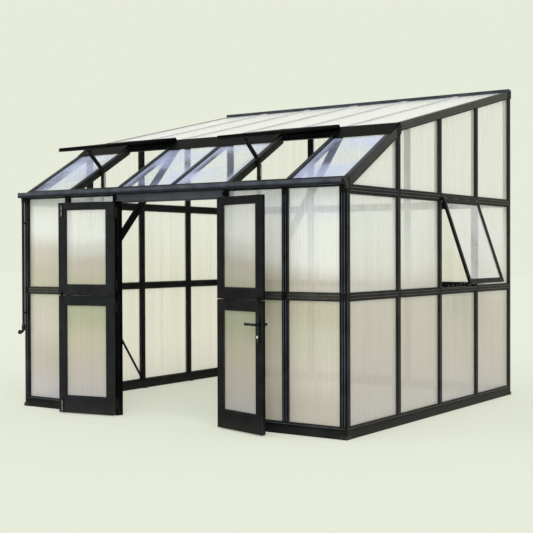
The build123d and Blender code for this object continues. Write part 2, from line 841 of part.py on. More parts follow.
def end_brackets(is_left):
    """Flat plates over the ends of the purlin and the wall plate."""
    plates = []
    x0 = -bracket_thickness if is_left else overall_width
    limit = under_roof(0, 0)
    for y, z in ((kink_y, kink_z), (overall_depth - bracket_width / 2, ridge_z)):
        y0, y1 = y - bracket_width / 2, y + bracket_width / 2
        plate = block(x0, x0 + bracket_thickness, y0, y1, z - bracket_height, z)
        plates.append(plate & limit)
    return plates


def foot_caps():
    """Thin shoes round the outer faces of the corner posts, flush at the back."""
    shoes = []
    for y0, y1 in ((-foot_thickness, corner_width), (overall_depth - corner_width, overall_depth)):
        shoe = block(-foot_thickness, corner_width, y0, y1, 0, foot_height)
        shoe -= block(0, overall_width, 0, overall_depth, -overshoot, foot_height + overshoot)
        shoes += [shoe, mirror_x(shoe)]
    return shoes


def build_nodes():
    """Every node by name, with the solids that it holds."""
    nodes = {}
    jamb_face = jamb_x - post_width / 2
    left_sill = sill("front", corner_width, jamb_face)
    nodes["front_sills"] = [left_sill, mirror_x(left_sill)]
    side_span = (corner_width, overall_depth - corner_width)
    nodes["side_sills"] = [sill("left", *side_span), sill("right", *side_span)]
    nodes["back_sill"] = [sill("back", corner_width, overall_width - corner_width)]
    nodes["corner_post_front_left"] = [corner_post(True, True, beam_bottom_z)]
    nodes["corner_post_front_right"] = [corner_post(False, True, beam_bottom_z)]
    nodes["corner_post_back_left"] = [corner_post(True, False, plate_bottom_z)]
    nodes["corner_post_back_right"] = [corner_post(False, False, plate_bottom_z)]
    nodes["door_jambs"] = [door_jamb(), mirror_x(door_jamb())]
    nodes["door_header"] = [door_header()]
    stud = wall_post("front", first_bar_x, sill_height, beam_bottom_z)
    nodes["front_studs"] = [stud, mirror_x(stud)]
    nodes["left_wall_posts"] = side_posts("left")
    nodes["right_wall_posts"] = side_posts("right")
    back_xs = (jamb_x, overall_width - jamb_x)
    nodes["back_wall_posts"] = [wall_post("back", x, sill_height, plate_bottom_z) for x in back_xs]
    nodes["front_mid_rails"] = [wall_rail("front", u0, u1, mid_z0, mid_z1) for u0, u1 in front_bays]
    nodes["left_wall_rails"] = wall_rails("left", side_bays)
    nodes["right_wall_rails"] = wall_rails("right", side_bays, has_window=True)
    nodes["back_wall_rails"] = wall_rails("back", back_bays)
    nodes["eave_beam"] = [eave_beam()]
    nodes["kink_purlin"] = [kink_purlin()]
    nodes["kink_flashing"] = kink_flashing()
    nodes["wall_plate"] = [wall_plate()]
    count = len(rafter_lines)
    nodes["lower_rafters"] = [rafter(i, "lower") for i in range(count)]
    nodes["upper_rafters"] = [rafter(i, "upper") for i in range(count)]
    nodes["front_sheets"] = front_sheets()
    nodes["left_wall_sheets"] = side_sheets("left")
    nodes["right_wall_sheets"] = side_sheets("right")
    nodes["back_wall_sheets"] = back_sheets()
    nodes["lower_roof_glass"] = [roof_sheet("lower", i) for i in fixed_glass_bays()]
    nodes["upper_roof_sheets"] = [roof_sheet("upper", i) for i in range(len(roof_bays))]
    for name, bay_index in zip(("left", "right"), vent_bays):
        frame, pane = roof_vent(bay_index)
        nodes[name + "_vent_frame"] = [frame]
        nodes[name + "_vent_glass"] = [pane]
        nodes[name + "_vent_opener"] = [vent_opener(bay_index)]
    frame, pane = window_sash()
    nodes["window_sash"] = [frame]
    nodes["window_glass"] = [pane]
    heights = hinge_heights()
    for name, turn, is_right in (("left", turn_left, False), ("right", turn_right, True)):
        nodes[name + "_door_lower_frame"] = [turn(leaf_lower(spindle_hole=is_right))]
        nodes[name + "_door_upper_frame"] = [turn(leaf_upper())]
        nodes[name + "_door_sheets"] = [turn(sheet) for sheet in leaf_sheets()]
        nodes[name + "_door_hinges"] = [turn(leaf_hinge(z)) for z in heights]
        fixed = [frame_hinge(z) for z in heights]
        nodes[name + "_jamb_hinges"] = [mirror_x(h) for h in fixed] if is_right else fixed
    bolt_top_z = header_bottom_z - stop_reach - leaf_gap
    low_bolt, high_bolt = slide_bolt(leaf_bottom_z), slide_bolt(bolt_top_z - bolt_length)
    nodes["left_door_bolts"] = [turn_left(part) for part in (low_bolt, high_bolt, split_latch())]
    nodes["right_door_latch"] = [turn_right(split_latch())]
    nodes["right_door_lock_plates"] = [turn_right(plate) for plate in lock_plates()]
    nodes["lever_handle"] = [turn_right(lever_handle())]
    nodes["knee_braces"] = [knee_brace(x) for x in (jamb_x, overall_width - first_bar_x)]
    nodes["side_wall_brace"] = [side_brace()]
    nodes["gutter"] = [gutter()]
    nodes["gutter_end_caps"] = gutter_caps()
    nodes["downpipe"] = [downpipe()]
    nodes["roof_brackets"] = end_brackets(True) + end_brackets(False)
    nodes["corner_shoes"] = foot_caps()
    return nodes


def as_node(shapes):
    solids = [solid for shape in shapes for solid in shape.solids()]
    return solids[0] if len(solids) == 1 else Compound(solids)


def centre_shift(nodes):
    """How far to move the house so that the origin is under its middle."""
    boxes = [node.bounding_box() for node in nodes.values()]
    x = (min(b.min.X for b in boxes) + max(b.max.X for b in boxes)) / 2
    y = (min(b.min.Y for b in boxes) + max(b.max.Y for b in boxes)) / 2
    return -x, -y


def main():
    os.makedirs("parts", exist_ok=True)
    nodes = {name: as_node(shapes) for name, shapes in build_nodes().items()}
    shift_x, shift_y = centre_shift(nodes)
    for name, node in nodes.items():
        export_step(Pos(shift_x, shift_y, 0) * node, os.path.join("parts", name + ".step"))
    return shift_x, shift_y


if __name__ == "__main__":
    main()
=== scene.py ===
import math
import bmesh
import bpy
from mathutils import Matrix, Vector


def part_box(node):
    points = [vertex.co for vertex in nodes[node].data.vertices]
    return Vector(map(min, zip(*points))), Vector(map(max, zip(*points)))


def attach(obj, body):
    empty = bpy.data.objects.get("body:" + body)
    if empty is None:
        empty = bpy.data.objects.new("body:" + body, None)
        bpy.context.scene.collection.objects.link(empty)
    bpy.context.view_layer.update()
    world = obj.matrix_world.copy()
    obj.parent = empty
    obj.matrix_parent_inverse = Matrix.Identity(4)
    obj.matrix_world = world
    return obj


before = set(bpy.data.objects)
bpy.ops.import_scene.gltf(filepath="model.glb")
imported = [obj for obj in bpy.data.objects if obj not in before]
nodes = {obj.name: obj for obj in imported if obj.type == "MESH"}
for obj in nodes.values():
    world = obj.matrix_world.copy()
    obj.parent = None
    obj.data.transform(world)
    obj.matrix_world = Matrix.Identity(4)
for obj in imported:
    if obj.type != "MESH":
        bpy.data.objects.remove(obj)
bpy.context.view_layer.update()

# Lean-to greenhouse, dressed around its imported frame. Metres, Z up.
# Places are given in house terms: x from the left outer face, y from the front face.
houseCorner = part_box("corner_post_front_left")[0]
toRow = Matrix.Translation(houseCorner)

house = {
    "width": 3.51, "depth": 3.27, "eaveZ": 1.989, "kinkY": 0.865, "kinkZ": 2.502, "kinkStep": 0.02,
    "ridgeZ": 3.065, "ridgeStep": 0.014, "sill": 0.088, "midLow": 1.066, "midHigh": 1.116,
    "railLow": 1.894, "railHigh": 1.95, "beamLow": 1.95, "headerLow": 1.893, "post": 0.05,
    "corner": 0.06, "rafter": 0.044, "gableLow": 0.078, "gableHigh": 0.064, "plate": 0.095,
    "setback": 0.016, "sheet": 0.008, "glass": 0.004, "cover": 0.006,
    "roofBars": [0.565, 1.15, 1.755, 2.36, 2.945], "endBars": (0.025, 3.485), "frontStud": 0.565,
    "jamb": 1.125, "sidePosts": [0.865, 1.65, 2.435], "backPosts": [1.15, 2.36],
}
doorway = {"left": 1.175, "right": 2.335, "hingeForward": 0.012, "leftOpen": 170, "rightOpen": 164}
stepZ = house["kinkZ"] - house["kinkStep"]
lowerSlope = math.atan((stepZ - house["eaveZ"]) / house["kinkY"])
upperSlope = math.atan((house["ridgeZ"] - house["ridgeStep"] - house["kinkZ"]) / (house["depth"] - house["kinkY"]))
barXs, sidePostYs = house["roofBars"], house["sidePosts"]
rafterXs = [house["endBars"][0]] + barXs + [house["endBars"][1]]
doorLeft, doorRight, hingeForward = doorway["left"], doorway["right"], doorway["hingeForward"]
leftOpen, rightOpen = math.radians(doorway["leftOpen"]), math.radians(doorway["rightOpen"])
forward, inward, rightward = (0, -1, 0), (0, 1, 0), (1, 0, 0)
upward, downward = (0, 0, 1), (0, 0, -1)


# helpers for places
def roofZ(y, drop=0.0):
    isLow = y < house["kinkY"]
    slope, start = (lowerSlope, stepZ) if isLow else (upperSlope, house["kinkZ"])
    return start + (y - house["kinkY"]) * math.tan(slope) - drop / math.cos(slope)


def onWall(wall):
    # turns (along the wall, depth, height) into a point; along runs to the right, seen from outside
    width, depth = house["width"], house["depth"]
    if wall == "front":
        return lambda u, d, z: Vector((u, d, z))
    if wall == "back":
        return lambda u, d, z: Vector((width - u, depth - d, z))
    if wall == "left":
        return lambda u, d, z: Vector((d, depth - u, z))
    return lambda u, d, z: Vector((width - d, u, z))


def leafPlace(isRight):
    hinge = Matrix.Translation((doorLeft, -hingeForward, 0))
    if not isRight:
        return toRow @ hinge @ Matrix.Rotation(-leftOpen, 4, "Z") @ hinge.inverted()
    flip = Matrix.Diagonal((-1, 1, 1, 1))
    mirrorX = Matrix.Translation((house["width"], 0, 0)) @ flip
    hinge = Matrix.Translation((doorRight, -hingeForward, 0))
    return toRow @ hinge @ Matrix.Rotation(rightOpen, 4, "Z") @ hinge.inverted() @ mirrorX


leftLeaf, rightLeaf = leafPlace(False), leafPlace(True)
mirrorRow = toRow @ Matrix.Translation((house["width"], 0, 0)) @ Matrix.Diagonal((-1, 1, 1, 1))
smoothBelow = math.radians(35)


# helpers for shapes
def makePiece(name, bm, material, body, place=toRow, smooth=False):
    bmesh.ops.transform(bm, matrix=place, verts=bm.verts)
    bmesh.ops.recalc_face_normals(bm, faces=bm.faces)
    mesh = bpy.data.meshes.new(name)
    bm.to_mesh(mesh)
    bm.free()
    piece = bpy.data.objects.new(name, mesh)
    bpy.context.scene.collection.objects.link(piece)
    mesh.materials.append(material)
    if smooth:
        mesh.shade_smooth()
        mesh.set_sharp_from_angle(angle=smoothBelow)
    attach(piece, body)


def addLoft(bm, rings, closeLoop=False):
    made = [[bm.verts.new(p) for p in ring] for ring in rings]
    count = len(made[0])
    pairs = list(zip(made, made[1:]))
    if closeLoop:
        pairs.append((made[-1], made[0]))
    for first, second in pairs:
        for i in range(count):
            j = (i + 1) % count
            bm.faces.new((first[i], first[j], second[j], second[i]))
    if not closeLoop:
        bm.faces.new(made[0])
        bm.faces.new(list(reversed(made[-1])))


def addAlongX(bm, outline, x0, x1):
    # outline points are (depth, height)
    addLoft(bm, [[Vector((x, d, z)) for d, z in outline] for x in (x0, x1)])


def addSoftBox(bm, low, high, edge):
    x0, y0, z0 = low
    x1, y1, z1 = high
    tuck = edge * 0.7  # how far the end faces draw in

    def ring(z, inset):
        a0, a1, b0, b1 = x0 + inset, x1 - inset, y0 + inset, y1 - inset
        e = edge
        return [Vector(p) for p in (
            (a0 + e, b0, z), (a1 - e, b0, z), (a1, b0 + e, z), (a1, b1 - e, z),
            (a1 - e, b1, z), (a0 + e, b1, z), (a0, b1 - e, z), (a0, b0 + e, z))]

    addLoft(bm, [ring(z0, tuck), ring(z0 + edge, 0), ring(z1 - edge, 0), ring(z1, tuck)])


def addTurned(bm, centre, axis, profile, sides=16, isRing=False):
    # profile points are (distance along the axis, radius)
    axis = Vector(axis).normalized()
    across = axis.orthogonal().normalized()
    other = axis.cross(across)
    rings = []
    for along, radius in profile:
        ring = []
        for i in range(sides):
            a = 2 * math.pi * i / sides
            ring.append(Vector(centre) + axis * along + (across * math.cos(a) + other * math.sin(a)) * radius)
        rings.append(ring)
    addLoft(bm, rings, closeLoop=isRing)


def insetCorners(corners, distance):
    # corners run anticlockwise in the wall's own plane
    count = len(corners)
    moved = []
    for i in range(count):
        before, here, after = corners[i - 1], corners[i], corners[(i + 1) % count]
        d0 = (Vector(here) - Vector(before)).normalized()
        d1 = (Vector(after) - Vector(here)).normalized()
        n0, n1 = Vector((-d0.y, d0.x)), Vector((-d1.y, d1.x))
        bisector = n0 + n1
        moved.append(Vector(here) + bisector * (distance / (0.5 * bisector.length_squared)))
    return moved


def addMitredBead(bm, corners, profile, place):
    # profile: how far in from the opening's edge, and how deep; the ring follows every side
    rings = [[] for corner in corners]
    for inset, depth in profile:
        for ring, corner in zip(rings, insetCorners(corners, inset)):
            ring.append(place(corner.x, depth, corner.y))
    addLoft(bm, rings, closeLoop=True)


# heads of screws and bolts: shares of the head's height and radius, the washer's heights in metres
heads = {
    "sunk": 0.0008, "screw": [(0.35, 1.0), (0.8, 0.78), (1.0, 0.42), (0.45, 0.36), (0.4, 0.05)],
    "washer": [(-0.0008, 1.35), (0.0014, 1.35), (0.0015, 1.2)], "boltFoot": 0.0012, "chamfer": 0.001, "crown": 0.86,
}


def addScrew(bm, centre, outward, size):
    radius, height = size
    profile = [(-heads["sunk"], radius)] + [(height * a, radius * b) for a, b in heads["screw"]]
    addTurned(bm, centre, outward, profile, sides=12)


def addHexBolt(bm, centre, outward, size):
    radius, height = size
    addTurned(bm, centre, outward, [(a, radius * b) for a, b in heads["washer"]], sides=18)
    head = [(heads["boltFoot"], radius), (height - heads["chamfer"], radius), (height, radius * heads["crown"])]
    addTurned(bm, centre, outward, head, sides=6)


# helpers for finishes
def startFinish(name):
    material = bpy.data.materials.new(name)
    material.use_nodes = True
    tree = material.node_tree
    tree.nodes.clear()
    output = tree.nodes.new("ShaderNodeOutputMaterial")
    return material, tree, output


def node(tree, kind, inputs=None, **settings):
    made = tree.nodes.new(kind)
    for key, value in settings.items():
        setattr(made, key, value)
    for key, value in (inputs or {}).items():
        if isinstance(value, bpy.types.NodeSocket):
            tree.links.new(value, made.inputs[key])
        else:
            made.inputs[key].default_value = value
    return made


def maths(tree, operation, first, second=None, third=None):
    values = [first, second, third]
    inputs = {i: v for i, v in enumerate(values) if v is not None}
    return node(tree, "ShaderNodeMath", inputs, operation=operation).outputs[0]


def ramp(tree, factor, stops):
    made = node(tree, "ShaderNodeValToRGB", {"Fac": factor})
    made.color_ramp.interpolation = "EASE"
    elements = made.color_ramp.elements
    while len(elements) < len(stops):
        elements.new(0.5)
    for element, (place, colour) in zip(elements, stops):
        element.position = place
        element.color = (*colour, 1)
    return made.outputs["Color"]


def spread(tree, value, source, target):
    # stretches the source range over the target range
    inputs = {"Value": value, "From Min": source[0], "From Max": source[1], "To Min": target[0], "To Max": target[1]}
    return node(tree, "ShaderNodeMapRange", inputs).outputs[0]


def multiplied(tree, first, second):
    inputs = {"Factor": 1.0, "A": first, "B": second}
    return node(tree, "ShaderNodeMix", inputs, data_type="RGBA", blend_type="MULTIPLY").outputs["Result"]


def objectPlace(tree):
    return node(tree, "ShaderNodeTexCoord").outputs["Object"]


def noise(tree, vector, scale, detail=3.0, roughness=0.55):
    inputs = {"Vector": vector, "Scale": scale, "Detail": detail, "Roughness": roughness}
    return node(tree, "ShaderNodeTexNoise", inputs).outputs["Fac"]


# black powder coat: colours are linear, lengths in metres, scales in waves to the metre
powderCoat = {
    "dark": (0.0036, 0.0038, 0.0046), "pale": (0.0088, 0.0093, 0.0114), "cloud": 7.0, "cloudRange": (0.35, 0.7),
    "roughness": (0.3, 0.44), "shine": 0.07, "grain": 900.0, "grainDepth": 0.00005, "grainBump": 0.5,
    "edge": 0.0025, "dust": (0.045, 0.042, 0.036), "dustHeight": 0.12, "dustShare": 0.55, "speckle": 60.0,
    "darkBelow": None, "lipShade": 0.2,
}


def powderFinish(name, **changes):
    values = dict(powderCoat, **changes)
    material, tree, output = startFinish(name)
    place = objectPlace(tree)
    cloudy = noise(tree, place, values["cloud"], detail=4.0)
    base = ramp(tree, cloudy, list(zip(values["cloudRange"], (values["dark"], values["pale"]))))
    height = node(tree, "ShaderNodeSeparateXYZ", {0: place}).outputs["Z"]
    if values["darkBelow"]:
        # painted shade: the piece's lower lip is darkened as if it lay in its own shade
        base = multiplied(tree, base, spread(tree, height, values["darkBelow"], (values["lipShade"], 1.0)))
    low = maths(tree, "SUBTRACT", 1.0, maths(tree, "DIVIDE", height, values["dustHeight"]))
    low = node(tree, "ShaderNodeClamp", {"Value": low}).outputs[0]
    speckle = noise(tree, place, values["speckle"], detail=5.0, roughness=0.7)
    dust = maths(tree, "MULTIPLY", maths(tree, "MULTIPLY", low, speckle), values["dustShare"])
    colour = node(tree, "ShaderNodeMix", {"Factor": dust, "A": base, "B": (*values["dust"], 1)}, data_type="RGBA")
    grain = noise(tree, place, values["grain"], detail=2.0)
    rounded = node(tree, "ShaderNodeBevel", {"Radius": values["edge"]}, samples=4)
    bump = node(tree, "ShaderNodeBump", {"Strength": values["grainBump"], "Distance": values["grainDepth"],
                                         "Height": grain, "Normal": rounded.outputs[0]})
    rough = spread(tree, cloudy, (0.0, 1.0), values["roughness"])
    shader = node(tree, "ShaderNodeBsdfPrincipled", {
        "Base Color": colour.outputs["Result"], "Roughness": rough, "Normal": bump.outputs[0],
        "Specular IOR Level": values["shine"]})
    tree.links.new(shader.outputs[0], output.inputs["Surface"])
    return material


# one coat all over, in lit and shaded copies: painted light makes the pieces that face the light paler, painted
# shade makes those in shade darker
blackFrame = powderFinish("powder coated aluminium")
paintedLitFrame = powderFinish("powder coat with painted light",
                         dark=(0.034, 0.038, 0.052), pale=(0.058, 0.065, 0.088), shine=0.12)
paintedLitAndShadedGutter = powderFinish("powder coat on the gutter with painted light and shade", dark=(0.055, 0.061, 0.08), pale=(0.09, 0.098, 0.125),
                           shine=0.06, darkBelow=(1.966, 1.98))
paintedLitHeader = powderFinish("powder coat on the header with painted light",
                           dark=(0.072, 0.078, 0.094), pale=(0.1, 0.108, 0.13), shine=0.12)
paintedLitLeafFrame = powderFinish("powder coat on the left leaf with painted light",
                         dark=(0.0078, 0.0084, 0.0106), pale=(0.0145, 0.0155, 0.019), shine=0.14)
paintedLitRafters = powderFinish("powder coat on the rafters with painted light",
                           dark=(0.008, 0.0084, 0.0095), pale=(0.0165, 0.017, 0.019), shine=0.2)
paintedShadeFrame = powderFinish("powder coat with painted shade",
                         dark=(0.003, 0.003, 0.0034), pale=(0.0065, 0.0065, 0.007), shine=0.02)
paintedLitRails = powderFinish("powder coat on the front rails with painted light",
                         dark=(0.03, 0.029, 0.025), pale=(0.052, 0.05, 0.043), shine=0.12)
paintedHighlightSideLines = powderFinish("powder coat with painted highlight on side lines",
                         dark=(0.052, 0.05, 0.043), pale=(0.105, 0.1, 0.086), shine=0.3)
paintedHighlightFrontLines = powderFinish("powder coat with painted highlight on front lines",
                        dark=(0.055, 0.063, 0.092), pale=(0.11, 0.122, 0.168), shine=0.4)

# black hardware: hinges, bolts, plates, levers
hardware = {"dark": (0.003, 0.003, 0.0035), "pale": (0.007, 0.007, 0.0078), "roughness": (0.22, 0.38), "shine": 0.2,
            "grain": 300.0, "grainDepth": 0.00003, "dust": (0.07, 0.07, 0.06), "dustHeight": 0.1, "edge": 0.001}
blackHardware = powderFinish("satin black hardware", **hardware)

# rubber: black for beads and seals, grey for the upper roof's gaskets
rubber = {"dark": (0.008, 0.008, 0.009), "pale": (0.018, 0.018, 0.018), "roughness": (0.62, 0.8), "shine": 0.25,
          "grain": 500.0, "grainDepth": 0.00008, "dust": (0.08, 0.076, 0.066), "dustHeight": 0.16, "edge": 0.001}
greyTones = {"dark": (0.46, 0.46, 0.47), "pale": (0.6, 0.6, 0.61)}
blackRubber = powderFinish("gasket rubber", **rubber)
greyRubber = powderFinish("grey sheet gasket", **dict(rubber, **greyTones))

# steel: bright for cylinders and rods, dull for the slide bolts
brightSteel = {"colour": (0.86, 0.86, 0.85), "worn": 0.8, "wornRange": (0.3, 0.7), "roughness": 0.34,
               "scratch": 240.0, "scratchBump": 0.2, "scratchDepth": 0.0001}


def steelFinish(name, **changes):
    values = dict(brightSteel, **changes)
    material, tree, output = startFinish(name)
    place = objectPlace(tree)
    marks = noise(tree, place, values["scratch"], detail=4.0, roughness=0.7)
    wornColour = tuple(c * values["worn"] for c in values["colour"])
    tint = ramp(tree, marks, list(zip(values["wornRange"], (wornColour, values["colour"]))))
    bump = node(tree, "ShaderNodeBump", {"Strength": values["scratchBump"], "Distance": values["scratchDepth"],
                                         "Height": marks})
    shader = node(tree, "ShaderNodeBsdfPrincipled", {
        "Base Color": tint, "Roughness": values["roughness"], "Metallic": 1.0, "Normal": bump.outputs[0]})
    tree.links.new(shader.outputs[0], output.inputs["Surface"])
    return material


steel = steelFinish("bright steel")
dullSteel = steelFinish("dull steel", colour=(0.3, 0.305, 0.32))

# fluted twin-wall sheet; each tone is (height, colour), and the streaks run upright
twinWall = {
    "flutePitch": 0.0215, "fluteDepth": 0.0008, "fluteBump": 0.35, "stripe": 0.12, "roughness": 0.3,
    "tones": [(0.15, (0.74, 0.70, 0.69)), (0.45, (0.76, 0.71, 0.66)), (0.95, (0.77, 0.73, 0.66)),
              (1.15, (0.87, 0.84, 0.79)), (1.4, (0.95, 0.95, 0.91)), (1.6, (0.97, 0.98, 0.97)),
              (2.2, (0.99, 0.99, 0.95))],
    "toneTop": 3.0, "lean": 0.0, "drift": 0.3, "driftScale": 1.3, "glow": 0.36,
    "streaks": 22.0, "streakRise": 0.22, "streakSway": 0.12, "streakShade": 0.2,
    "fineStreaks": 5, "fineRise": 0.4, "fineShade": 0.08,
    "clearLow": 0.18, "clearHigh": 0.36, "clearRange": (0.3, 0.7), "clearByHeight": 0.34, "riseRange": (0.42, 0.7),
}


def streakNoise(tree, across, height, tightness, rise, detail, roughness=0.55):
    place = node(tree, "ShaderNodeCombineXYZ", {
        "X": maths(tree, "MULTIPLY", across, tightness), "Z": maths(tree, "MULTIPLY", height, rise)}).outputs[0]
    return noise(tree, place, 1.0, detail, roughness)


def ripple(tree, factor, depth):
    # swings evenly about 1
    return maths(tree, "MULTIPLY_ADD", factor, depth, 1.0 - depth / 2)


def sway(tree, factor, reach):
    # swings evenly about 0
    return maths(tree, "MULTIPLY_ADD", factor, reach, -reach / 2)


def sheetFinish(name, along, **changes):
    values = dict(twinWall, **changes)
    material, tree, output = startFinish(name)
    place = objectPlace(tree)
    upright = node(tree, "ShaderNodeSeparateXYZ", {0: place}).outputs["Z"]
    across = node(tree, "ShaderNodeVectorMath", {0: place, 1: along}, operation="DOT_PRODUCT").outputs["Value"]
    wave = maths(tree, "SINE", maths(tree, "MULTIPLY", across, 2 * math.pi / values["flutePitch"]))
    ridge = maths(tree, "MULTIPLY_ADD", wave, 0.5, 0.5)
    streak = streakNoise(tree, across, upright, values["streaks"], values["streakRise"], detail=5.0, roughness=0.62)
    fineness = values["streaks"] * values["fineStreaks"]
    fine = streakNoise(tree, across, upright, fineness, values["fineRise"], detail=2.0)
    drift = noise(tree, place, values["driftScale"])
    height = maths(tree, "ADD", upright, sway(tree, drift, values["drift"]))
    height = maths(tree, "ADD", height, sway(tree, streak, values["streakSway"]))
    height = maths(tree, "MULTIPLY_ADD", across, values["lean"], height)
    height = maths(tree, "DIVIDE", height, values["toneTop"])
    tint = ramp(tree, height, [(z / values["toneTop"], colour) for z, colour in values["tones"]])
    shade = ripple(tree, streak, values["streakShade"])
    shade = maths(tree, "MULTIPLY", shade, ripple(tree, fine, values["fineShade"]))
    shade = maths(tree, "MULTIPLY", shade, ripple(tree, ridge, values["stripe"]))
    shaded = multiplied(tree, tint, shade)
    bump = node(tree, "ShaderNodeBump", {"Strength": values["fluteBump"], "Distance": values["fluteDepth"],
                                         "Height": ridge})
    gloss = node(tree, "ShaderNodeBsdfPrincipled", {
        "Base Color": shaded, "Roughness": values["roughness"], "Normal": bump.outputs[0]})
    glow = node(tree, "ShaderNodeBsdfTranslucent", {"Color": shaded})
    hazeAndReflection = node(tree, "ShaderNodeMixShader", {0: values["glow"], 1: gloss.outputs[0], 2: glow.outputs[0]})
    # the sheet is clearest high up
    patchy = spread(tree, streak, values["clearRange"], (values["clearLow"], values["clearHigh"]))
    raised = spread(tree, height, values["riseRange"], (0.0, values["clearByHeight"]))
    clear = maths(tree, "ADD", patchy, raised)
    see = node(tree, "ShaderNodeBsdfTransparent")
    mixed = node(tree, "ShaderNodeMixShader", {0: clear, 1: hazeAndReflection.outputs[0], 2: see.outputs[0]})
    tree.links.new(mixed.outputs[0], output.inputs["Surface"])
    return material


alongX, alongY = (1, 0, 0), (0, 1, 0)
# front sheets: the tones run darker below about 1.3 m; the bluish tone at the top, under the gutter, is a painted
# reflection
frontValues = {
    "tones": [(0.0, (0.66, 0.62, 0.64)), (0.3, (0.66, 0.605, 0.525)), (0.62, (0.77, 0.725, 0.64)),
              (0.85, (0.73, 0.715, 0.59)), (1.1, (0.67, 0.63, 0.5)), (1.3, (0.73, 0.69, 0.6)),
              (1.5, (0.97, 0.98, 0.96)), (1.75, (0.98, 0.99, 0.97)), (1.9, (0.93, 0.95, 1.0))],
    "lean": 0.09, "drift": 0.15, "clearByHeight": 0.26, "glow": 0.16,
}
frontSheet = sheetFinish("twin-wall sheet front", alongX, **frontValues)
sideSheet = sheetFinish("twin-wall sheet side", alongY)

# the far walls are lit from outside, so more of their light comes through; their paler tones are painted light
farPaintedLightValues = {
    "tones": [(0.1, (0.93, 0.88, 0.84)), (0.6, (0.97, 0.93, 0.86)), (1.3, (0.97, 0.94, 0.87)),
              (1.7, (0.99, 0.98, 0.93))],
    "glow": 0.7, "clearLow": 0.36, "clearHigh": 0.56,
}
farSheetBack = sheetFinish("twin-wall sheet back", alongX, **farPaintedLightValues)
farSheetLeft = sheetFinish("twin-wall sheet left", alongY, **farPaintedLightValues)

# the two open leaves; the right one stands a little further from the light, and its tones are dimmed as painted
# shade
leafValues = {
    "tones": [(0.15, (0.64, 0.61, 0.61)), (0.4, (0.68, 0.63, 0.56)), (0.65, (0.69, 0.65, 0.51)),
              (0.9, (0.57, 0.585, 0.41)), (1.15, (0.64, 0.62, 0.465)), (1.35, (0.69, 0.645, 0.555)),
              (1.48, (0.82, 0.82, 0.78)), (1.6, (0.98, 0.99, 0.95))],
    "drift": 0.15, "glow": 0.16,
}
rightLeafLight = {"dim": 0.86, "glow": 0.2}
paintedShadeTones = [(z, tuple(c * rightLeafLight["dim"] for c in colour)) for z, colour in leafValues["tones"]]
leftLeafSheet = sheetFinish("twin-wall sheet left leaf", (math.cos(leftOpen), -math.sin(leftOpen), 0), **leafValues)
rightLeafSheet = sheetFinish("twin-wall sheet right leaf", (math.cos(rightOpen), math.sin(rightOpen), 0),
                             **dict(leafValues, tones=paintedShadeTones, glow=rightLeafLight["glow"]))

# opal sheet of the upper roof
roofValues = {
    "tones": [(2.3, (0.99, 0.985, 0.98)), (3.0, (0.98, 0.985, 0.95))], "clearLow": 0.04, "clearHigh": 0.16,
    "clearByHeight": 0.05, "roughness": 0.2, "flutePitch": 0.012, "glow": 0.1, "stripe": 0.04,
}
roofSheet = sheetFinish("opal roof sheet", alongX, **roofValues)

# clear glass with a painted reflection: a cool blue tint laid in patches and beside the roof bars
roofGlass = {
    "tint": (0.98, 0.98, 0.98), "hazeAndReflection": (0.58, 0.645, 0.88), "thin": 0.12, "thick": 0.6, "patch": 2.2,
    "patchRange": (0.42, 0.66), "barPitch": 0.595, "barStart": barXs[0], "besideBar": 0.11, "barEdge": 0.02,
    "barShare": 0.9, "wipe": 14.0, "wipeBump": 0.1, "wipeDepth": 0.0005, "roughness": 0.06,
}
windowGlass = {"hazeAndReflection": (0.84, 0.85, 0.84), "thin": 0.26, "thick": 0.42, "besideBar": 0.0}


def paneFinish(name, **changes):
    values = dict(roofGlass, **changes)
    material, tree, output = startFinish(name)
    place = objectPlace(tree)
    patch = noise(tree, place, values["patch"], roughness=0.5)
    cloud = spread(tree, patch, values["patchRange"], (values["thin"], values["thick"]))
    if values["besideBar"]:
        alongFront = node(tree, "ShaderNodeSeparateXYZ", {0: place}).outputs["X"]
        start = houseCorner.x + values["barStart"]
        fromBar = maths(tree, "PINGPONG", maths(tree, "SUBTRACT", alongFront, start), values["barPitch"] / 2)
        beside = spread(tree, fromBar, (values["barEdge"], values["besideBar"]),
                        (values["thick"] * values["barShare"], 0.0))
        cloud = maths(tree, "MAXIMUM", cloud, beside)
    see = node(tree, "ShaderNodeBsdfTransparent", {"Color": (*values["tint"], 1)})
    wipe = noise(tree, place, values["wipe"], detail=4.0, roughness=0.6)
    bump = node(tree, "ShaderNodeBump", {"Strength": values["wipeBump"], "Distance": values["wipeDepth"],
                                         "Height": wipe})
    paintedReflection = node(tree, "ShaderNodeBsdfPrincipled", {
        "Base Color": (*values["hazeAndReflection"], 1), "Roughness": values["roughness"], "Normal": bump.outputs[0]})
    mixed = node(tree, "ShaderNodeMixShader", {0: cloud, 1: see.outputs[0], 2: paintedReflection.outputs[0]})
    tree.links.new(mixed.outputs[0], output.inputs["Surface"])
    return material


roofPane = paneFinish("clear roof glass")
windowPane = paneFinish("clear window glass", **windowGlass)

# black plastic pipe, caps and shoes
plastic = {"dark": (0.005, 0.005, 0.006), "pale": (0.012, 0.012, 0.0135), "roughness": (0.28, 0.4), "shine": 0.25,
           "grain": 200.0, "grainDepth": 0.00004, "dust": (0.035, 0.033, 0.029), "dustHeight": 0.16, "edge": 0.002}
blackPlastic = powderFinish("moulded black plastic", **plastic)
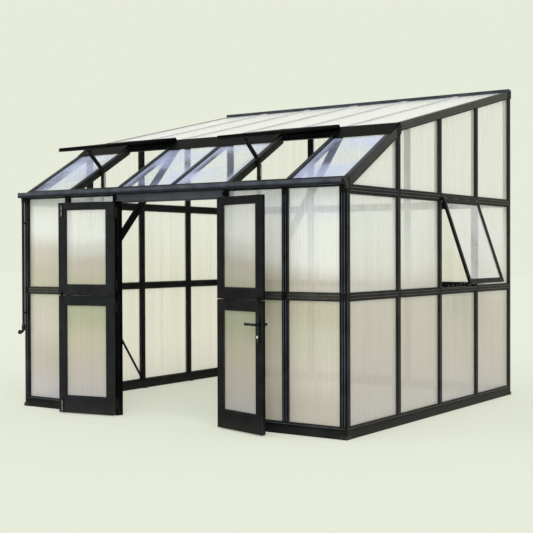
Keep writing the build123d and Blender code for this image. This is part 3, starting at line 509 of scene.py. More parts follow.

# which finish goes on which frame piece; every other piece is blackFrame. The gutter, header, rafters, left leaf,
# front rails and wall plate get copies with painted light, and the kink, jambs, knee braces and vent frames a copy
# with painted shade
finishes = {
    "front_sheets": frontSheet, "back_wall_sheets": farSheetBack, "left_wall_sheets": farSheetLeft,
    "right_wall_sheets": sideSheet, "left_door_sheets": leftLeafSheet, "right_door_sheets": rightLeafSheet,
    "upper_roof_sheets": roofSheet, "lower_roof_glass": roofPane, "left_vent_glass": roofPane,
    "right_vent_glass": roofPane, "window_glass": windowPane,
    "left_jamb_hinges": blackHardware, "right_jamb_hinges": blackHardware, "left_door_hinges": blackHardware,
    "right_door_hinges": blackHardware, "left_door_bolts": blackHardware, "right_door_latch": blackHardware,
    "right_door_lock_plates": blackHardware, "lever_handle": blackHardware,
    "left_vent_opener": blackHardware, "right_vent_opener": blackHardware,
    "gutter_end_caps": blackPlastic, "downpipe": blackPlastic, "corner_shoes": blackPlastic,
    "door_header": paintedLitHeader, "gutter": paintedLitAndShadedGutter, "lower_rafters": paintedLitRafters, "upper_rafters": paintedLitRafters,
    "left_door_lower_frame": paintedLitLeafFrame, "left_door_upper_frame": paintedLitLeafFrame, "front_mid_rails": paintedLitRails,
    "wall_plate": paintedLitFrame, "kink_flashing": paintedShadeFrame, "kink_purlin": paintedShadeFrame, "door_jambs": paintedShadeFrame,
    "knee_braces": paintedShadeFrame, "left_vent_frame": paintedShadeFrame, "right_vent_frame": paintedShadeFrame,
}
for nodeName, obj in nodes.items():
    finish = finishes.get(nodeName, blackFrame)
    if not obj.material_slots:
        obj.data.materials.append(finish)
    for slotPlace in obj.material_slots:
        slotPlace.material = finish
print("finishes on", len(nodes), "frame pieces")


# glazing beads round every opening of the walls; profiles are (in from the edge, depth)
bead = {"tuck": 0.001, "outerWidth": 0.009, "innerWidth": 0.012, "reveal": 0.004, "innerReveal": 0.006,
        "lip": 0.003, "outerRound": 0.3, "innerRound": 0.35}
outerBead = [(-bead["tuck"], bead["reveal"]), (bead["outerWidth"] * bead["outerRound"], bead["reveal"]),
             (bead["outerWidth"], house["setback"] - bead["lip"]), (bead["outerWidth"], house["setback"]),
             (-bead["tuck"], house["setback"])]
sheetBack = house["setback"] + house["sheet"]
innerDeep = house["post"] - bead["innerReveal"]
innerBead = [(-bead["tuck"], sheetBack), (bead["innerWidth"], sheetBack),
             (bead["innerWidth"], sheetBack + bead["lip"]), (bead["innerWidth"] * bead["innerRound"], innerDeep),
             (-bead["tuck"], innerDeep)]


def spans(start, middles, end):
    edges = [start]
    for middle in middles:
        edges += [middle - house["post"] / 2, middle + house["post"] / 2]
    edges.append(end)
    return list(zip(edges[0::2], edges[1::2]))


def boxCorners(u0, u1, z0, z1):
    return [(u0, z0), (u1, z0), (u1, z1), (u0, z1)]


def gableCorners(y0, y1):
    # the sheet under the steep slope is a triangle that starts where the bar meets the rail
    rail = house["railHigh"]
    if y1 < house["kinkY"]:
        belowKink = house["kinkY"] - 1e-6
        start = house["kinkY"] - (roofZ(belowKink, house["gableLow"]) - rail) / math.tan(lowerSlope)
        return [(start, rail), (y1, rail), (y1, roofZ(y1, house["gableLow"]))]
    top = [roofZ(y, house["gableHigh"]) for y in (y0, y1)]
    return [(y0, rail), (y1, rail), (y1, top[1]), (y0, top[0])]


sideBays = spans(house["corner"], sidePostYs, house["depth"] - house["corner"])
backBays = spans(house["corner"], house["backPosts"], house["width"] - house["corner"])
leftFront = spans(house["corner"], [house["frontStud"]], house["jamb"])
frontBays = leftFront + [(house["width"] - b, house["width"] - a) for a, b in leftFront]
windowBay = sideBays[2]
tiers = {"low": (house["sill"], house["midLow"]), "middle": (house["midHigh"], house["railLow"]),
         "frontHigh": (house["midHigh"], house["beamLow"]),
         "backHigh": (house["railHigh"], house["ridgeZ"] - house["plate"])}
openings = {
    "front": [boxCorners(*bay, *tiers[tier]) for bay in frontBays for tier in ("low", "frontHigh")],
    "left": [], "right": [],
    "back": [boxCorners(*bay, *tiers[tier]) for bay in backBays for tier in ("low", "middle", "backHigh")],
}
for y0, y1 in sideBays:
    middle = [] if (y0, y1) == windowBay else [boxCorners(y0, y1, *tiers["middle"])]
    openings["right"] += [boxCorners(y0, y1, *tiers["low"]), gableCorners(y0, y1)] + middle
    turned = house["depth"] - y1, house["depth"] - y0
    mirrored = [(house["depth"] - y, z) for y, z in reversed(gableCorners(y0, y1))]
    openings["left"] += [boxCorners(*turned, *tiers["low"]), boxCorners(*turned, *tiers["middle"]), mirrored]
for wall, shapes in openings.items():
    bm = bmesh.new()
    for corners in shapes:
        addMitredBead(bm, corners, outerBead, onWall(wall))
        addMitredBead(bm, corners, innerBead, onWall(wall))
    makePiece(wall + "_glazing_beads", bm, blackRubber, "root")
print("glazing beads on four walls")

# half doors: beads and soft seals, drawn on the closed left leaf
leaf = {"x0": 1.18, "x1": 1.75, "bottom": 0.01, "split": 1.06, "top": 1.888, "gap": 0.002, "stile": 0.072,
        "kick": 0.145, "lowerTop": 0.08, "upperBottom": 0.087, "upperTop": 0.058, "deep": 0.04,
        "beadReveal": 0.004, "beadWidth": 0.01, "beadLip": 0.002, "beadTop": 0.003}
seal = {"strip": [(-0.001, 0.026), (0.0025, 0.028), (0.003, 0.031), (0.0025, 0.034), (-0.001, 0.036)],
        "brush": [(0.014, 0.0), (0.026, 0.0), (0.022, -0.006), (0.018, -0.006)], "short": 0.01, "under": 0.0005}
halves = [(leaf["bottom"], leaf["split"] - leaf["gap"], leaf["kick"], leaf["lowerTop"]),
          (leaf["split"] + leaf["gap"], leaf["top"], leaf["upperBottom"], leaf["upperTop"])]
leafDeep = leaf["deep"] - leaf["beadReveal"]
leafInnerBead = [(-bead["tuck"], sheetBack), (leaf["beadWidth"], sheetBack),
                 (leaf["beadWidth"], sheetBack + leaf["beadLip"]), (leaf["beadTop"], leafDeep),
                 (-bead["tuck"], leafDeep)]
freeStile = leaf["x1"] - leaf["stile"] / 2


def straightOn(u, d, v):
    return Vector((u, d, v))


def leafBeads(side, place):
    bm = bmesh.new()
    for z0, z1, low, high in halves:
        corners = boxCorners(leaf["x0"] + leaf["stile"], leaf["x1"] - leaf["stile"], z0 + low, z1 - high)
        addMitredBead(bm, corners, outerBead, straightOn)
        addMitredBead(bm, corners, leafInnerBead, straightOn)
    makePiece(side + "_leaf_beads", bm, blackRubber, side + "_door", place)


def leafSeals(side, place):
    # soft strips down the free edge of both halves, and a brush under the leaf
    bm = bmesh.new()
    short = seal["short"]
    for half in halves:
        ends = (half[0] + short, half[1] - short)
        addLoft(bm, [[Vector((leaf["x1"] + a, b, z)) for a, b in seal["strip"]] for z in ends])
    brush = [(a, leaf["bottom"] + seal["under"] + b) for a, b in seal["brush"]]
    addAlongX(bm, brush, leaf["x0"] + short, leaf["x1"] - short)
    makePiece(side + "_leaf_seals", bm, blackRubber, side + "_door", place)


for side, place in (("left", leftLeaf), ("right", rightLeaf)):
    leafBeads(side, place)
    leafSeals(side, place)
print("beads and seals on both leaves")

# hinge screws and pin caps
hinge = {"heights": (0.105, 0.963, 1.157, 1.793), "half": 0.045, "plate": 0.003, "screw": (0.0042, 0.002),
         "jambIn": 0.021, "jambApart": 0.03, "doorOut": 0.022, "doorLean": 0.006, "doorApart": 0.007,
         "cap": [(-0.001, 0.0056), (0.0009, 0.0056), (0.0022, 0.00392), (0.0028, 0.001)]}


def hingeFixings(side, place, rowPlace):
    jamb, door = bmesh.new(), bmesh.new()
    face = -hinge["plate"]
    for z in hinge["heights"]:
        for up in (-1, 1):
            onJamb = (doorLeft - hinge["jambIn"], face, z + up * hinge["jambApart"])
            onDoor = (doorLeft + hinge["doorOut"] + up * hinge["doorLean"], face, z + up * hinge["doorApart"])
            addScrew(jamb, onJamb, forward, hinge["screw"])
            addScrew(door, onDoor, forward, hinge["screw"])
            addTurned(jamb, (doorLeft, -hingeForward, z + up * hinge["half"]), (0, 0, up), hinge["cap"], sides=20)
    makePiece(side + "_jamb_hinge_screws", jamb, blackHardware, "root", rowPlace, smooth=True)
    makePiece(side + "_leaf_hinge_screws", door, blackHardware, side + "_door", place, smooth=True)


hingeFixings("left", leftLeaf, toRow)
hingeFixings("right", rightLeaf, mirrorRow)

# screws that hold the leaf corners
cornerScrew = {"size": (0.0042, 0.002), "fromEdge": 0.018, "lowShare": 0.35, "highShare": 0.3, "keepClear": 0.15}


def leafCorners(side, place):
    bm = bmesh.new()
    edge, clear = cornerScrew["fromEdge"], cornerScrew["keepClear"]
    for z0, z1, low, high in halves:
        heights = (z0 + low - edge, z0 + low * cornerScrew["lowShare"],
                   z1 - high + edge, z1 - high * cornerScrew["highShare"])
        for z in heights:
            for x in (leaf["x0"] + edge, leaf["x1"] - edge):
                # the free stile's inner face is left to the bolts and the latch
                if x > freeStile and (z1 - z < clear or z - z0 < clear):
                    continue
                addScrew(bm, (x, leaf["deep"], z), inward, cornerScrew["size"])
    makePiece(side + "_leaf_corner_screws", bm, blackHardware, side + "_door", place, smooth=True)


leafCorners("left", leftLeaf)
leafCorners("right", rightLeaf)

# lock: rose collars, plate screws and a key cylinder on each face
lock = {"x": 1.712, "z": 0.872, "plate": 0.007, "keyDrop": 0.098, "keyLength": 0.006, "screwSteps": (0.064, -0.13),
        "screw": (0.0042, 0.0018), "roseRadius": 0.0145, "roseCrown": 0.85, "roseHole": 0.0096,
        "key": [(-0.004, 0.0112), (0.0004, 0.0112), (0.0012, 0.01), (0.0012, 0.003)],
        "slotWide": 0.0016, "slotDrop": 0.004, "slotTall": 0.007, "slotEdge": 0.0002}


def lockFittings(place):
    dark, bright, slots, screws = bmesh.new(), bmesh.new(), bmesh.new(), bmesh.new()
    rose = [(-0.001, lock["roseRadius"]), (0.003, lock["roseRadius"]),
            (0.005, lock["roseRadius"] * lock["roseCrown"]), (0.0055, lock["roseHole"]), (-0.001, lock["roseHole"])]
    wide, half = lock["slotWide"], lock["slotWide"] / 2
    for outward, face in ((-1, -lock["plate"]), (1, leaf["deep"] + lock["plate"])):
        out = (0, outward, 0)
        addTurned(dark, (lock["x"], face, lock["z"]), out, rose, sides=32, isRing=True)
        for step in lock["screwSteps"]:
            addScrew(screws, (lock["x"], face, lock["z"] + step), out, lock["screw"])
        key = Vector((lock["x"], face + outward * lock["keyLength"], lock["z"] - lock["keyDrop"]))
        addTurned(bright, key, out, lock["key"], sides=28)
        # each keyhole is a small black slot, painted shade in place of the hole
        low = key + Vector((-half, half * outward - half, -lock["slotDrop"]))
        addSoftBox(slots, low, low + Vector((wide, wide, lock["slotTall"])), lock["slotEdge"])
    makePiece("lever_roses", dark, blackHardware, "right_door", place, smooth=True)
    makePiece("key_cylinders", bright, steel, "right_door", place, smooth=True)
    makePiece("keyholes", slots, blackRubber, "right_door", place)
    makePiece("lock_plate_screws", screws, blackHardware, "right_door", place, smooth=True)


lockFittings(rightLeaf)

# rounded grips over the two levers, which turn with the handle; stations are (along, share of the full section)
grip = {"x0": 1.5875, "reach": 0.045, "deep": 0.019, "half": 0.0115, "inset": 0.0002, "squareness": 0.6, "sides": 20,
        "stations": [(0.0, 0.55), (0.003, 0.86), (0.012, 1.0), (0.075, 0.9), (0.108, 0.98), (0.124, 0.9),
                     (0.1285, 0.5)],
        "neckFoot": 0.0105, "neck": 0.0098, "neckFlare": 0.01, "neckStart": 0.0062, "neckShort": 0.007}


def squareRound(value):
    return math.copysign(abs(value) ** grip["squareness"], value)


def leverGrips(place):
    bm = bmesh.new()
    turns = [2 * math.pi * i / grip["sides"] for i in range(grip["sides"])]
    neck = [(-0.0005, grip["neckFoot"]), (grip["neckFlare"], grip["neck"]),
            (grip["reach"] - grip["neckShort"] - grip["deep"], grip["neck"])]
    for outward, face in ((-1, 0.0), (1, leaf["deep"])):
        middle = face + outward * (grip["reach"] - grip["deep"] / 2 - grip["inset"])
        rings = []
        for along, scale in grip["stations"]:
            x = grip["x0"] + along
            rings.append([Vector((x, middle + squareRound(math.cos(a)) * grip["deep"] / 2 * scale,
                                  lock["z"] + squareRound(math.sin(a)) * grip["half"] * scale)) for a in turns])
        addLoft(bm, rings)
        neckFace = face + outward * (lock["plate"] + grip["neckStart"])
        addTurned(bm, (lock["x"], neckFace, lock["z"]), (0, outward, 0), neck, sides=24)
    makePiece("lever_grips", bm, blackHardware, "door_handle", place, smooth=True)


leverGrips(rightLeaf)

# slide bolts on the left leaf: knob, guides, sleeve on the rod, screws
bolt = {"ends": (0.01, 1.753), "length": 0.12, "face": 0.046, "rod": 0.005, "sleeve": 0.0009, "sleeveIn": 0.006,
        "knob": [(-0.002, 0.0038), (0.006, 0.0036), (0.0072, 0.0062), (0.0095, 0.0072), (0.0125, 0.0068),
                 (0.0135, 0.005)],
        "knobSeat": 0.8, "guideIns": (0.0045, 0.0125), "guideLong": 0.008, "guide": (0.001, 0.0028),
        "screwIn": 0.01, "screwAcross": 0.0092, "screw": (0.003, 0.0014)}


def addArch(bm, x, y, inner, outer, z0, z1):
    turns = [math.pi * i / 10 for i in range(11)]
    outline = [(x + outer * math.cos(a), y + outer * math.sin(a)) for a in turns]
    outline += [(x + inner * math.cos(a), y + inner * math.sin(a)) for a in reversed(turns)]
    addLoft(bm, [[Vector((a, b, z)) for a, b in outline] for z in (z0, z1)])


def boltFittings(place):
    dark, bright, screws = bmesh.new(), bmesh.new(), bmesh.new()
    face, radius, length, cut = bolt["face"], bolt["rod"], bolt["length"], bolt["sleeveIn"]
    rod = [(cut, radius), (cut + 0.001, radius + bolt["sleeve"]), (length - cut - 0.001, radius + bolt["sleeve"]),
           (length - cut, radius)]
    inner, outer = (radius + grown for grown in bolt["guide"])
    knobFace = face + radius * bolt["knobSeat"]
    for z0 in bolt["ends"]:
        addTurned(dark, (freeStile, knobFace, z0 + length / 2), inward, bolt["knob"], sides=20)
        addTurned(bright, (freeStile, face, z0), upward, rod, sides=20)
        for z in (z0 + bolt["guideIns"][0], z0 + length - bolt["guideIns"][1]):
            addArch(dark, freeStile, face, inner, outer, z, z + bolt["guideLong"])
        for z in (z0 + bolt["screwIn"], z0 + length - bolt["screwIn"]):
            for across in (-bolt["screwAcross"], bolt["screwAcross"]):
                addScrew(screws, (freeStile + across, face, z), inward, bolt["screw"])
    makePiece("slide_bolt_fittings", dark, blackHardware, "left_door", place, smooth=True)
    makePiece("slide_bolt_screws", screws, blackHardware, "left_door", place, smooth=True)
    makePiece("slide_bolt_rods", bright, dullSteel, "left_door", place, smooth=True)


# turn latches over the split of both leaves
latch = {"turn": [(-0.001, 0.0085), (0.005, 0.0085), (0.0065, 0.0078), (0.007, 0.004)], "turnUp": 0.016,
         "tabHalf": 0.0022, "tabOut": 0.003, "tabDeep": 0.009, "tabSpan": (-0.012, 0.03), "tabEdge": 0.0012,
         "screwSteps": (-0.028, -0.018, 0.03), "screw": (0.0032, 0.0014)}


def latchFittings(side, place):
    bm, screws = bmesh.new(), bmesh.new()
    face, split = bolt["face"], leaf["split"]
    addTurned(bm, (freeStile, face, split + latch["turnUp"]), inward, latch["turn"], sides=24)
    half, y0, (low, high) = latch["tabHalf"], face + latch["tabOut"], latch["tabSpan"]
    addSoftBox(bm, (freeStile - half, y0, split + low), (freeStile + half, y0 + latch["tabDeep"], split + high),
               latch["tabEdge"])
    for step in latch["screwSteps"]:
        addScrew(screws, (freeStile, face, split + step), inward, latch["screw"])
    makePiece(side + "_split_latch_turn", bm, blackHardware, side + "_door", place, smooth=True)
    makePiece(side + "_split_latch_screws", screws, blackHardware, side + "_door", place, smooth=True)


boltFittings(leftLeaf)
latchFittings("left", leftLeaf)
latchFittings("right", rightLeaf)
print("hinges, lock, bolts and latches fitted out")

# opening sashes: two roof vents and the side window share one build
sashTrim = {"wide": 0.008, "narrow": 0.003, "reveal": 0.002, "lip": 0.003, "screw": (0.0045, 0.0018),
            "screwAcross": 0.5, "screwTop": 0.75, "screwInner": 1.6, "screwEnd": 0.5}


def tiltedPlace(origin, across, tilt):
    # across is the hinge line; tilt is the sash's outward normal
    across, normal = Vector(across), Vector(tilt).normalized()
    upSlope = normal.cross(across)
    return toRow @ Matrix.Translation(origin) @ Matrix((across, upSlope, normal)).transposed().to_4x4()


def inSash(u, d, v):
    return Vector((u, v, d))


def dressSash(name, place, values, width, length):
    stile, thick = values["stile"], values["thick"]
    paneLow, paneHigh = thick / 2 - house["glass"] / 2, thick / 2 + house["glass"] / 2
    wide, narrow, reveal, lip = (sashTrim[key] for key in ("wide", "narrow", "reveal", "lip"))
    tuck = bead["tuck"]
    bm = bmesh.new()
    corners = boxCorners(stile, width - stile, stile - length, -stile)
    top = [(-tuck, thick - reveal), (narrow, thick - reveal), (wide, paneHigh + lip), (wide, paneHigh),
           (-tuck, paneHigh)]
    under = [(-tuck, paneLow), (wide, paneLow), (wide, paneLow - lip), (narrow, reveal), (-tuck, reveal)]
    addMitredBead(bm, corners, top, inSash)
    addMitredBead(bm, corners, under, inSash)
    makePiece(name + "_beads", bm, blackRubber, "root", place)
    screws = bmesh.new()
    inner, fromSide = stile * sashTrim["screwInner"], stile * sashTrim["screwAcross"]
    for u in (fromSide, width - fromSide):
        for v in (-stile * sashTrim["screwTop"], -inner, inner - length, stile * sashTrim["screwEnd"] - length):
            addScrew(screws, (u, v, thick), upward, sashTrim["screw"])
            addScrew(screws, (u, v, 0), downward, sashTrim["screw"])
    makePiece(name + "_screws", screws, blackHardware, "root", place, smooth=True)


# roof vents: hinge sleeves, drip lip and pull rail; profiles are (down from the free edge, height)
vent = {"length": 0.975, "angle": 8.5, "stile": 0.04, "thick": 0.026, "lift": 0.0003, "edgeGap": 0.003,
        "hingeRadius": 0.008, "sleeveGrown": 0.0012, "sleeveHole": 0.9, "sleeveLong": 0.055,
        "sleeves": (0.03, 0.19, 0.335, 0.49), "lipIn": 0.002, "railIn": 0.02,
        "lip": [(0.001, 0.001), (-0.009, -0.006), (-0.0105, -0.0055), (-0.002, 0.004), (0.001, 0.005)],
        "rail": [(0.004, 0.0005), (0.014, 0.0005), (0.012, -0.0075), (0.006, -0.0075)]}
ventBars = [(barXs[0], barXs[1]), (barXs[3], barXs[4])]
ventTilt = math.radians(vent["angle"])
ventPlaces = []
for bars in ventBars:
    origin = (bars[0] + vent["edgeGap"], house["kinkY"], house["kinkZ"] + vent["lift"])
    ventPlaces.append(tiltedPlace(origin, rightward, (0, -math.sin(ventTilt), math.cos(ventTilt))))
ventWidth = ventBars[0][1] - ventBars[0][0] - 2 * vent["edgeGap"]


def dressVent(name, place):
    dressSash(name, place, vent, ventWidth, vent["length"])
    bm = bmesh.new()
    radius, long = vent["hingeRadius"], vent["sleeveLong"]
    hole, outer = radius * vent["sleeveHole"], radius + vent["sleeveGrown"]
    for u in vent["sleeves"]:
        addTurned(bm, (u, 0, radius), rightward, [(0, hole), (0, outer), (long, outer), (long, hole)],
                  sides=20, isRing=True)
    for outline, short in ((vent["lip"], vent["lipIn"]), (vent["rail"], vent["railIn"])):
        addAlongX(bm, [(a - vent["length"], b) for a, b in outline], short, ventWidth - short)
    makePiece(name + "_hinge_and_lip", bm, blackFrame, "root", place, smooth=True)


dressVent("left_vent", ventPlaces[0])
dressVent("right_vent", ventPlaces[1])

# side window, hinged at the top: hinge sleeves, pull knob and two stays with peg holes
window = {"y0": 1.675, "y1": 2.41, "overlap": 0.008, "hingeZ": 1.906, "bottomZ": 1.12, "angle": 19, "stile": 0.034,
          "thick": 0.022, "hingeOut": 0.0003, "sleeveGrown": 0.0016, "sleeveHole": 0.9, "sleeveLong": 0.07,
          "sleeves": (0.0, 0.22, 0.46),
          "knob": [(-0.001, 0.006), (0.008, 0.005), (0.01, 0.011), (0.017, 0.012), (0.02, 0.008)]}
stay = {"fromEnd": 0.14, "footIn": 0.003, "startIn": 0.03, "startUp": 0.012, "thick": 0.002, "half": 0.008,
        "base": (0.012, 0.01, 0.0125), "baseTop": 0.004, "baseEdge": 0.002, "holes": 6, "firstHole": 0.12,
        "holeStep": 0.14, "hole": [(-0.0026, 0.0035), (0.0026, 0.0035)],
        "pin": [(-0.007, 0.0045), (-0.006, 0.006), (0.006, 0.006), (0.007, 0.0045)]}
windowTilt = math.radians(window["angle"])
windowWidth = window["y1"] - window["y0"] + 2 * window["overlap"]
windowLength = window["hingeZ"] - window["bottomZ"] + window["overlap"]
windowRadius = window["thick"] / 2
windowX = house["width"] + window["hingeOut"] + windowRadius * (1 - math.cos(windowTilt))
windowNormal = Vector((math.cos(windowTilt), 0, math.sin(windowTilt)))
windowPlace = tiltedPlace((windowX, window["y0"] - window["overlap"], window["hingeZ"]), inward, windowNormal)


def dressWindow():
    dressSash("side_window", windowPlace, window, windowWidth, windowLength)
    bm = bmesh.new()
    hole, outer = windowRadius * window["sleeveHole"], windowRadius + window["sleeveGrown"]
    long = window["sleeveLong"]
    for u in (*window["sleeves"], windowWidth - long):
        addTurned(bm, (u, 0, windowRadius), rightward, [(0, hole), (0, outer), (long, outer), (long, hole)],
                  sides=24, isRing=True)
    addTurned(bm, (windowWidth / 2, window["stile"] / 2 - windowLength, 0), downward, window["knob"], sides=24)
    makePiece("side_window_hinges_and_knob", bm, blackHardware, "root", windowPlace, smooth=True)


def windowStay():
    # each stay runs from the mid rail to the sash's bottom rail
    bm, holes = bmesh.new(), bmesh.new()
    sideways = Vector(inward)
    slope = Vector((-math.sin(windowTilt), 0, math.cos(windowTilt)))
    foot = Vector((windowX, 0, window["hingeZ"])) - slope * (windowLength - window["stile"] * 0.5)
    foot -= windowNormal * stay["footIn"]
    thick, half = stay["thick"], stay["half"]
    outline = [(-thick, -half), (thick, -half), (thick, half), (-thick, half)]
    baseX, baseY, baseZ = stay["base"]
    for y in (window["y0"] + stay["fromEnd"], window["y1"] - stay["fromEnd"]):
        start = Vector((house["width"] - stay["startIn"], y, house["midHigh"] + stay["startUp"]))
        end = foot + Vector((0, y, 0))
        along = (end - start).normalized()
        across = sideways.cross(along)
        addLoft(bm, [[p + sideways * a + across * b for a, b in outline] for p in (start, end)])
        addSoftBox(bm, start - Vector((baseX, baseY, baseZ)), start + Vector((baseX, baseY, -stay["baseTop"])),
                   stay["baseEdge"])
        length = (end - start).length
        for i in range(stay["holes"]):
            spot = start + along * (length * (stay["firstHole"] + stay["holeStep"] * i))
            addTurned(holes, spot, inward, stay["hole"], sides=12)
        for spot in (start, end):
            addTurned(bm, spot, inward, stay["pin"])
    makePiece("side_window_stays", bm, blackHardware, "root")
    makePiece("side_window_stay_holes", holes, steel, "root", smooth=True)


dressWindow()
windowStay()
print("vents and side window dressed")

# roof vent openers: hub, bands and cap on the hanging tube, sleeve on the arm, spring and rod
opener = {
    "y": 0.43, "drop": 0.008, "bracket": 0.034, "tubeLength": 0.3, "bands": (0.034, 0.15),
    "hub": [(-0.001, 0.021), (0.003, 0.0205), (0.0045, 0.013), (0.0085, 0.0125), (0.0105, 0.0075)],
    "cap": [(-0.012, 0.0152), (-0.012, 0.0168), (0.003, 0.0168), (0.006, 0.013), (0.008, 0.006), (0.0082, 0.001)],
    "band": [(-0.008, 0.0152), (-0.007, 0.0166), (0.007, 0.0166), (0.008, 0.0152)],
    "armX": 0.011, "armY": 0.24, "armDrop": 0.021, "sleeve": 0.0185, "sleeveEnd": 0.012,
    "sleeveStart": (0.026, 0.032), "sleeveStop": (0.026, 0.02),
    "knuckle": [(-0.0105, 0.012), (-0.009, 0.0165), (0.009, 0.0165), (0.0105, 0.012), (0.0115, 0.005)],
    "shoe": ((-0.009, -0.028, 0.006), (0.013, 0.028, 0.0145)), "shoeEdge": 0.002,
    "rodBack": 0.034, "rodDrop": 0.02, "rod": [(0, 0.003), (0.002, 0.0042), (0.19, 0.0042), (0.192, 0.003)],
    "blockDrop": 0.185, "lowBlock": ((-0.009, -0.036, -0.012), (0.009, 0.01, 0.006)),
    "topBlock": ((-0.008, -0.03, -0.004), (0.008, 0.008, 0.008)), "blockEdge": 0.003,
    "springRadius": 0.0085, "wire": 0.0015, "springTurns": 15, "springLength": 0.16, "springDrop": 0.012,
    "stepsPerTurn": 14, "wireSides": 6,
}


def addSpring(bm, top, values):
    rings = []
    radius, wire, perTurn = values["springRadius"], values["wire"], values["stepsPerTurn"]
    steps = values["springTurns"] * perTurn
    wireTurns = [2 * math.pi * i / values["wireSides"] for i in range(values["wireSides"])]
    for i in range(steps + 1):
        a = 2 * math.pi * i / perTurn
        outward = Vector((math.cos(a), math.sin(a), 0))
        centre = top + Vector((math.cos(a) * radius, math.sin(a) * radius, -values["springLength"] * i / steps))
        rings.append([centre + outward * (wire * math.cos(b)) + Vector((0, 0, wire * math.sin(b)))
                      for b in wireTurns])
    addLoft(bm, rings)


def addBlock(bm, spot, corners, edge):
    addSoftBox(bm, spot + Vector(corners[0]), spot + Vector(corners[1]), edge)


def dressOpener(name, barX):
    face = barX + house["rafter"] / 2
    halfBracket = opener["bracket"] / 2
    pivot = Vector((face + halfBracket, opener["y"], roofZ(opener["y"], opener["drop"])))
    dark, bright = bmesh.new(), bmesh.new()
    addTurned(dark, pivot + Vector((halfBracket, 0, 0)), rightward, opener["hub"], sides=32)
    addTurned(dark, pivot - Vector((0, 0, opener["tubeLength"])), downward, opener["cap"], sides=28)
    for down in opener["bands"]:
        addTurned(dark, pivot - Vector((0, 0, down)), upward, opener["band"], sides=28)
    sashZ = house["kinkZ"] + vent["lift"] - (house["kinkY"] - opener["armY"]) * math.tan(ventTilt)
    top = Vector((face + opener["armX"], opener["armY"], sashZ - opener["armDrop"]))
    addTurned(dark, top, rightward, opener["knuckle"], sides=28)
    armFoot = Vector((top.x, pivot.y, pivot.z))
    arm = top - armFoot
    (start, full), (taper, end) = opener["sleeveStart"], opener["sleeveStop"]
    sleeve = [(start, opener["sleeveEnd"]), (full, opener["sleeve"]), (arm.length - taper, opener["sleeve"]),
              (arm.length - end, opener["sleeveEnd"])]
    addTurned(dark, armFoot, arm.normalized(), sleeve, sides=24)
    addBlock(dark, top, opener["shoe"], opener["shoeEdge"])
    # spring and rod stand behind the tube, joined to it by two blocks
    rodTop = pivot + Vector((0, opener["rodBack"], -opener["rodDrop"]))
    addTurned(bright, rodTop, downward, opener["rod"])
    addSpring(dark, rodTop - Vector((0, 0, opener["springDrop"])), opener)
    addBlock(dark, rodTop - Vector((0, 0, opener["blockDrop"])), opener["lowBlock"], opener["blockEdge"])
    addBlock(dark, rodTop, opener["topBlock"], opener["blockEdge"])
    makePiece(name + "_opener_fittings", dark, blackHardware, "root", smooth=True)
    makePiece(name + "_opener_rod", bright, steel, "root", smooth=True)


dressOpener("left_vent", ventBars[0][0])
dressOpener("right_vent", ventBars[1][0])
print("vent openers dressed")


# roof bars: capping strips outside, gaskets where glass and sheet meet the bars
# cap profiles are (share of the half width, height over the slope)
roofTrim = {
    "half": 0.017, "lower": (0.07, 0.705), "upper": (0.9, 3.2), "glass": (0.065, 0.83),
    "halfCap": [(-1.0, -0.0005), (-1.0, 0.0022), (-0.4, 0.0034), (-0.22, 0.0012), (0.0, 0.0012), (0.0, -0.0005)],
    "flatCap": [(-1.0, -0.0005), (-1.0, 0.0016), (-0.8, 0.0024), (0.8, 0.0024), (1.0, 0.0016), (1.0, -0.0005)],
    "endHalf": 0.025, "gasket": 0.007, "tuck": 0.0005, "gasketTop": 0.0015, "gasketRise": 0.001,
    "gasketUnder": 0.002, "gasketDrop": 0.006,
}


def onSlope(x, y, height):
    slope = lowerSlope if y < house["kinkY"] else upperSlope
    return Vector((x, y - height * math.sin(slope), roofZ(y) + height * math.cos(slope)))


def addSlopeBar(bm, outline, y0, y1):
    addLoft(bm, [[onSlope(x, y, height) for x, height in outline] for y in (y0, y1)])


def roofCaps():
    # beside a vent the strip is cut to its outer half, so that the sash can lie on the bar
    bm, w = bmesh.new(), roofTrim["half"]
    leftHalf = [(w * a, b) for a, b in roofTrim["halfCap"]]
    rightHalf = [(-a, b) for a, b in reversed(leftHalf)]
    full = leftHalf[:4] + rightHalf[2:]
    kinds = zip(barXs + [rafterXs[0], rafterXs[-1]], (leftHalf, rightHalf, full, leftHalf, rightHalf, full, full))
    for x, kind in kinds:
        addSlopeBar(bm, [(x + a, b) for a, b in kind], *roofTrim["lower"])
    # the caps carry painted light: a paler bluish copy of the powder coat
    makePiece("lower_roof_bar_caps", bm, paintedLitFrame, "root")
    # above the kink the bars lie under opal capping, so only thin joint lines show
    upper, w = bmesh.new(), house["rafter"] / 2
    for x in rafterXs[1:-1]:
        addSlopeBar(upper, [(x + w * a, b) for a, b in roofTrim["flatCap"]], *roofTrim["upper"])
    makePiece("upper_roof_capping", upper, roofSheet, "root")


